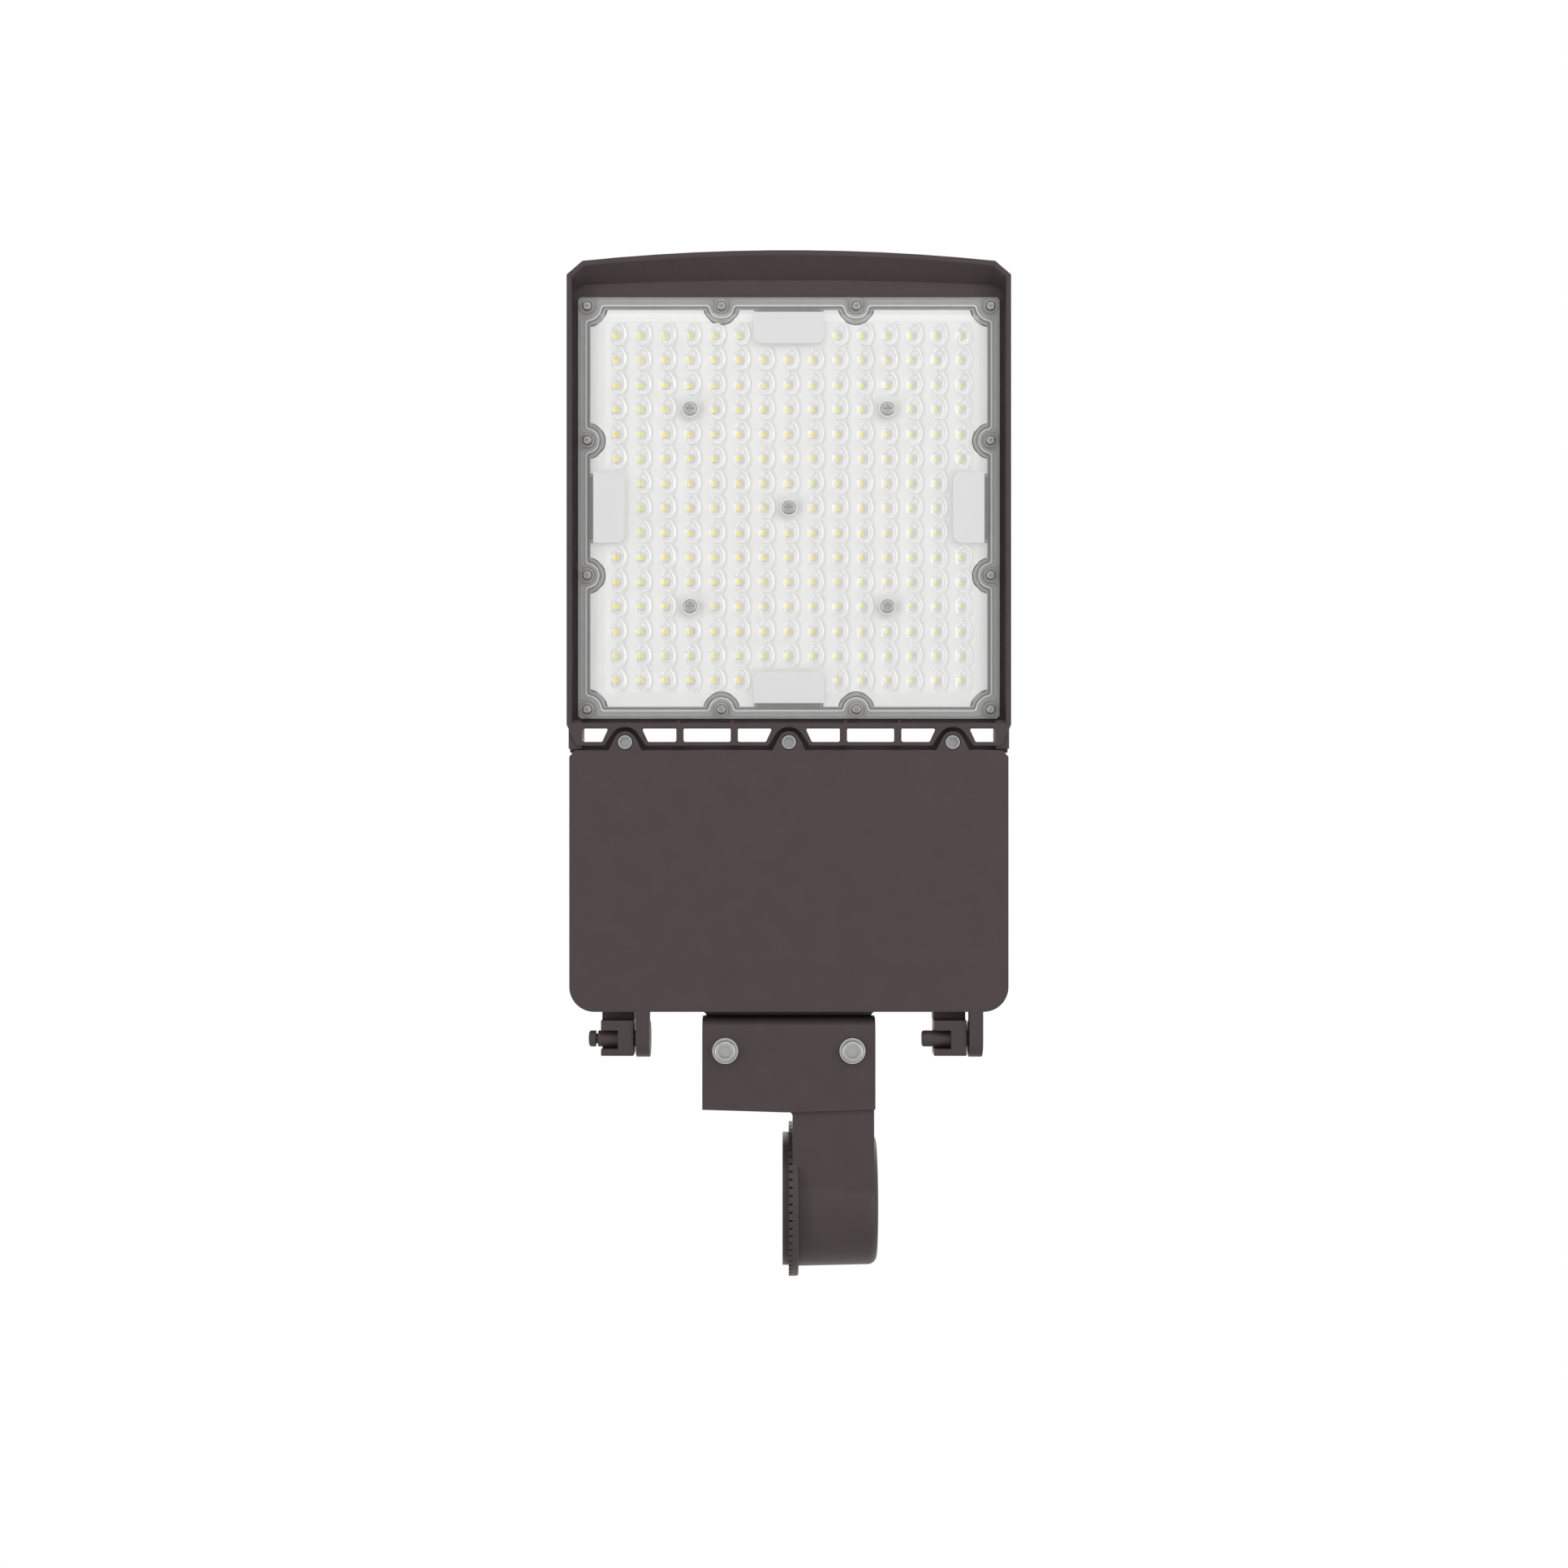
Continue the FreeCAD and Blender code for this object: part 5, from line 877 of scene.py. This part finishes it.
class LIGHT_OT_gasket(bpy.types.Operator):
    """Build the grey seal under the flange, with its ridge, bead and groove"""

    bl_idname = "area_light.gasket"
    bl_label = "Lens gasket"

    # inset, side and corner bulge, fillet, lobe; then depth behind the flange and the finish up to there
    profile = (
        ((1.6, 5.6, 6.0, 3.0, 0), 0.35, BORDER),
        ((1.8, 5.8, 6.2, 2.8, 0), 0.02, RIDGE),
        ((2.2, 6.2, 6.6, 2.6, 0), 0.02, RIDGE),
        ((2.4, 6.4, 6.8, 2.4, 0), 0.35, SEAL),
        ((4.7, 7.1, 8.4, 2.6, 0), 0.35, SEAL),
        ((4.85, 7.25, 8.55, 2.4, 0), 0.02, BEAD),
        ((5.8, 8.2, 9.5, 2.0, 0), 0.02, BEAD),
        ((5.95, 8.35, 9.65, 1.8, 0), 0.60, GROOVE),
        ((6.95, 9.35, 10.6, 1.6, 0), 0.60, GROOVE),
        ((7.05, 9.5, 10.7, 1.5, 0), 0.20, SEAL),
        ((7.85, 11.2, 12.3, 1.2, 0.6), 0.20, SEAL),
    )
    strip_length: size("Strip length", "Dark strip beside a tab, along the edge", 44.4 * MM)
    strip_low: size("Strip start", "Edge of the plate to the strip", 7.0 * MM)
    strip_high: size("Strip end", "Edge of the plate to its far side", 10.4 * MM)

    def execute(self, context):
        seals = context.scene.area_light_seals
        bm = bmesh.new()
        floor = BAY_FLOOR - 0.02 * MM
        edge = seal_path(self.profile[0][0], seals, straight=True)
        steps = [(edge, FLANGE_BACK + self.profile[0][1] * MM, BORDER)]
        steps += [(seal_path(row, seals), FLANGE_BACK + depth * MM, finish)
                  for row, depth, finish in self.profile]
        steps += [(steps[-1][0], floor, SEAL), (edge, floor, SEAL)]
        loop = loop_of(bm, edge, floor)
        place = bm.verts.layers.int.new("place")
        for number, vert in enumerate(bm.verts):
            vert[place] = number
        for path, level, finish in steps:
            loop = self.next_step(bm, loop, place, path, level, finish)
        bmesh.ops.remove_doubles(bm, verts=bm.verts, dist=1e-7)
        for side in plate_sides():
            self.add_strip(bm, side, floor)
        bmesh.ops.recalc_face_normals(bm, faces=bm.faces)
        materials = [
            silicone("grey_silicone", seals.colour),
            silicone("border_silicone", seals.border_colour),
            # painted highlights on the ridge and the bead
            silicone("ridge_painted_highlight", seals.ridge_highlight_colour, 0.45),
            silicone("bead_painted_highlight", seals.bead_highlight_colour, 0.4),
            # painted shade in the groove and on the strips beside the tabs
            silicone("groove_painted_shade", seals.groove_shade_colour),
        ]
        gasket = finished(bm, "lens_gasket_moulded", "lens_gasket", materials, math.radians(25))
        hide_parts("lens_gasket")
        return {"FINISHED"}

    def next_step(self, bm, loop, place, path, level, finish):
        """Extrudes the seal's loop and lays each new point at its own place on the next path."""
        grown = bmesh.ops.extrude_edge_only(bm, edges=loop)["geom"]
        for vert in grown:
            if isinstance(vert, bmesh.types.BMVert):
                vert.co = (*path[vert[place]], level)
        loop = [g for g in grown if isinstance(g, bmesh.types.BMEdge)]
        for edge in loop:
            edge.link_faces[0].material_index = finish
        return loop

    def add_strip(self, bm, side, floor):
        """The dark strip on the outer side of a tab, a dark bar of painted shade, with a light rib near each
        end, a painted highlight.
        """
        half = self.strip_length / 2
        rib_far, rib_near = half - 0.9 * MM, half - 1.6 * MM
        face = FLANGE_BACK + 0.15 * MM
        crest = face - 0.1 * MM
        near, far = LENS_HALF - self.strip_high, LENS_HALF - self.strip_low
        for low, high, top, finish in (
            (-half, half, face, GROOVE),
            (-rib_far, -rib_near, crest, RIDGE),
            (rib_near, rib_far, crest, RIDGE),
        ):
            bar = bmesh.new()
            rounded_slab(bar, (low, near, top), (high, far, floor), 0.2 * MM, 1)
            for side_face in bar.faces:
                side_face.material_index = finish
            place_copy(bm, bar, side)
            bar.free()


# ---- LED board


class LIGHT_OT_board(bpy.types.Operator):
    """Finish the white board and build an LED package at each place"""

    bl_idname = "area_light.board"
    bl_label = "LED board"

    mask: paint("Mask", "Colour of the board", (0.80, 0.80, 0.80))
    gel: paint("Gel", "Colour of the phosphor", (0.96, 0.84, 0.30))
    gel_size: size("Gel size", "Phosphor of one LED", 2.6 * MM)
    gel_flat: share("Gel height", "Height of the phosphor over its width", 0.76)
    gel_recess: size("Gel recess", "Phosphor below the package's face", 0.12 * MM)
    height: size("Height", "LED package above the board", 0.7 * MM)

    def execute(self, context):
        dressed("led_board", solder_mask(self.mask), 0.1 * MM, 1)
        one = bmesh.new()
        half = LED_SIZE / 2
        rounded_slab(one, (-half, -half, BOARD_FACE - self.height), (half, half, BOARD_FACE), 0.25 * MM, 1)
        front = min(one.faces, key=lambda f: f.calc_center_median().z)
        border = half - self.gel_size / 2
        bmesh.ops.inset_region(one, faces=[front], thickness=border * 0.7)
        bmesh.ops.inset_region(one, faces=[front], thickness=border * 0.3, depth=-self.gel_recess)
        bmesh.ops.scale(one, verts=front.verts, vec=(1, self.gel_flat, 1))
        front.material_index = 1
        whole = bmesh.new()
        for place in filter(holds_led, CELLS):
            tile(whole, one, *place)
        one.free()
        packages = finished(whole, "led_packages_gel", "led_packages",
                            [moulded("package_white", (0.80, 0.80, 0.78), 0.4), phosphor(self.gel)])
        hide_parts("led_packages")
        return {"FINISHED"}


# ---- castings and metal


class LIGHT_OT_castings(bpy.types.Operator):
    """Finish the coated castings: housing, door, arm and hinge pins"""

    bl_idname = "area_light.castings"
    bl_label = "Castings"

    ring_inside: size("Ring inside", "Inner radius of the toothed ring", 42.5 * MM)
    ring_depth: size("Ring depth", "Tooth tips to the flange behind them", 3.5 * MM)

    def on_teeth(self, edge):
        """Whether an edge lies on the toothed ring, which is cut and stays crisp."""
        return all(v.co.x < self.ring_depth and v.co.yz.length > self.ring_inside for v in edge.verts)

    def execute(self, context):
        coat = context.scene.area_light_coat
        paint_film = powder_coat(coat)
        for node in ("housing", "driver_cover"):
            dressed(node, paint_film, coat.edge)
        dressed("knuckle_bracket", paint_film, coat.edge, crisp=self.on_teeth)
        for node in ("hinge_pin_left", "hinge_pin_right"):
            dressed(node, paint_film, 0.2 * MM)
        return {"FINISHED"}


class LIGHT_OT_fasteners(bpy.types.Operator):
    """Finish the screws, bolts, washers and nuts"""

    bl_idname = "area_light.fasteners"
    bl_label = "Fasteners"

    steel: paint("Steel", "Colour of stainless steel", (0.46, 0.46, 0.455))
    dull_steel: paint("Dull steel", "Colour of the rim screws and the door's screws", (0.37, 0.37, 0.37))

    def execute(self, context):
        steel = metal("stainless_steel", self.steel, 0.36)
        brushed = metal("turned_steel", shaded(self.steel, 1.1), 0.42, 0.5 * MM)
        dull = metal("dull_steel", self.dull_steel, 0.4)
        for kind in ("lens_field", "driver", "surge", "terminal"):
            dressed(kind + "_screws", steel)
        dressed("ground_screw", steel)
        dressed("lens_rim_screws", dull)
        dressed("bracket_bolts", steel, 0.12 * MM)
        dressed("cover_screws", dull, 0.12 * MM)
        for node in ("bracket_washers", "bracket_nuts", "ground_lug"):
            dressed(node, brushed, 0.15 * MM)
        return {"FINISHED"}


class LIGHT_OT_driver_bay(bpy.types.Operator):
    """Finish what the driver bay holds, the leads and the seals"""

    bl_idname = "area_light.driver_bay"
    bl_label = "Driver bay"

    def execute(self, context):
        finishes = {  # each node's finish, and how far its edges are softened
            "led_driver": (metal("driver_can", (0.62, 0.62, 0.63), 0.38, 2 * MM, (0.05, 1, 1)), 0.5 * MM),
            "surge_protector": (moulded("black_plastic", (0.022, 0.022, 0.024), 0.45), 0.4 * MM),
            "terminal_block": (moulded("pale_plastic", (0.68, 0.67, 0.62), 0.42), 0.3 * MM),
            "cover_gasket": (silicone("door_seal", (0.10, 0.10, 0.10), 0.6), 0.2 * MM),
            "bracket_gasket": (silicone("arm_seal", (0.12, 0.12, 0.12), 0.6), 0.1 * MM),
            "bay_gland": (silicone("gland_rubber", (0.05, 0.05, 0.05), 0.5), 0.15 * MM),
            "board_gland": (silicone("gland_rubber_white", (0.4, 0.4, 0.4), 0.5), 0.15 * MM),
            "led_leads": (lead_sleeve((0.02, 0.02, 0.02), (0.45, 0.02, 0.015)), 0),
            "board_connector": (moulded("connector_plastic", (0.80, 0.80, 0.78), 0.4), 0.15 * MM),
            "cover_screw_retainers": (moulded("nylon", (0.05, 0.05, 0.05), 0.45), 0.1 * MM),
        }
        for node, (material, edge) in finishes.items():
            dressed(node, material, edge)
        return {"FINISHED"}


# ---- stage


class LIGHT_OT_stage(bpy.types.Operator):
    """Set up the floor, the world, the lamps and the camera"""

    bl_idname = "area_light.stage"
    bl_label = "Stage"

    def execute(self, context):
        settings = context.scene.area_light_stage
        self.make_floor(settings)
        self.make_world(settings.world)
        target = Vector((0, MIDDLE_Y, RIM))
        for name, place, width, length, power in (
            ("lamp_right", (1.35, -0.35, -1.05), 0.55, 1.7, 9.4),
            ("lamp_left", (-1.35, -0.25, -1.05), 0.55, 1.7, 8.2),
            ("lamp_front", (0.2, -1.5, -1.35), 1.4, 0.7, 5.6),
            ("lamp_top", (0.7, -1.1, 1.7), 1.6, 1.2, 26.0),
            ("lamp_top_left", (-1.3, 0.7, 1.3), 1.2, 1.2, 16.0),
        ):
            self.make_lamp(name, Vector(place), target, width, length, power * settings.strength)
        self.make_camera(settings, target)
        context.scene.view_settings.view_transform = "Standard"
        return {"FINISHED"}

    def make_floor(self, settings):
        """A white floor. The rays that look at it see it paler than it is lit."""
        bm = bmesh.new()
        bmesh.ops.create_grid(bm, x_segments=8, y_segments=8, size=settings.floor_size)
        bmesh.ops.translate(bm, verts=bm.verts, vec=(0, MIDDLE_Y, settings.floor_level))
        mesh = bpy.data.meshes.new("floor")
        bm.to_mesh(mesh)
        bm.free()
        floor = linked("floor", mesh)
        finish = Finish("floor_white", Roughness=0.8)
        cloud = finish.noise(0.6)
        finish.drive(Base_Color=finish.blend(cloud, (0.80, 0.80, 0.80), (0.83, 0.83, 0.83)))
        pale = finish.add("ShaderNodeEmission", None, {"Color": WHITE, "Strength": settings.floor_white})
        finish.show(finish.seen() * settings.floor_share, finish.solid, pale)
        mesh.materials.append(finish.material)

    def make_world(self, strength):
        """Even light all round, which looks white to the rays that look at it."""
        world = bpy.data.worlds.new("studio")
        bpy.context.scene.world = world
        world.use_nodes = True
        nodes = Nodes(world.node_tree)
        light = nodes.tree.nodes["Background"]
        nodes.feed(light.inputs["Color"], WHITE)
        nodes.feed(light.inputs["Strength"], strength)
        shown = nodes.add("ShaderNodeBackground", None, {"Color": WHITE})
        nodes.show(nodes.seen(), Wire(nodes, light.outputs[0]), shown)

    def make_lamp(self, name, place, target, width, length, power):
        data = bpy.data.lights.new(name, "AREA")
        data.shape = "RECTANGLE"
        data.size = width
        data.size_y = length
        data.energy = power
        lamp = linked(name, data)
        forward = (target - place).normalized()
        side = Vector((0, 1, 0)).cross(forward).normalized()
        up = forward.cross(side)
        turn = Matrix((side, up, -forward)).transposed()
        lamp.matrix_world = Matrix.Translation(place) @ turn.to_4x4()

    def make_camera(self, settings, target):
        data = bpy.data.cameras.new("camera")
        data.lens = settings.lens
        data.sensor_width = settings.sensor
        data.sensor_fit = "HORIZONTAL"
        data.clip_end = 50
        distance = PICTURE_SIDE * PIXEL * settings.lens / settings.sensor
        camera = linked("camera", data)
        across = (PICTURE_SIDE / 2 - AXIS_PIXEL) * PIXEL
        # the picture's right is +X and its top is -Y
        turn = Matrix(((1, 0, 0), (0, -1, 0), (0, 0, -1))).to_4x4()
        camera.matrix_world = Matrix.Translation((across, target.y, RIM - distance)) @ turn
        bpy.context.scene.camera = camera


# ---- panel and registration


class LIGHT_PT_panel(bpy.types.Panel):
    """The light's settings and the operators that build it"""

    bl_idname = "LIGHT_PT_panel"
    bl_label = "Area light"
    bl_space_type = "VIEW_3D"
    bl_region_type = "UI"
    bl_category = "Area light"

    def draw(self, context):
        for name in SETTINGS:
            group = getattr(context.scene, "area_light_" + name)
            box = self.layout.box()
            for prop in group.bl_rna.properties:
                if prop.identifier not in ("name", "rna_type"):
                    box.prop(group, prop.identifier)
        for operator in OPERATORS:
            self.layout.operator(operator.bl_idname)


SETTINGS = {"coat": CoatSettings, "optics": OpticSettings, "seals": SealSettings, "stage": StageSettings}
OPERATORS = (
    LIGHT_OT_castings,
    LIGHT_OT_lens,
    LIGHT_OT_gasket,
    LIGHT_OT_board,
    LIGHT_OT_fasteners,
    LIGHT_OT_driver_bay,
    LIGHT_OT_stage,
)


def register():
    for kind in (*SETTINGS.values(), *OPERATORS, LIGHT_PT_panel):
        bpy.utils.register_class(kind)
    for name, kind in SETTINGS.items():
        setattr(bpy.types.Scene, "area_light_" + name, bpy.props.PointerProperty(type=kind))


def unregister():
    for name in SETTINGS:
        delattr(bpy.types.Scene, "area_light_" + name)
    for kind in reversed((*SETTINGS.values(), *OPERATORS, LIGHT_PT_panel)):
        bpy.utils.unregister_class(kind)


def plain(bounds):
    """Two corners as plain lists."""
    return [[float(value) for value in corner] for corner in bounds]


def main():
    register()
    for operator in OPERATORS:
        group, name = operator.bl_idname.split(".")
        getattr(getattr(bpy.ops, group), name)()
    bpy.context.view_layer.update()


if __name__ == "__main__":
    main()
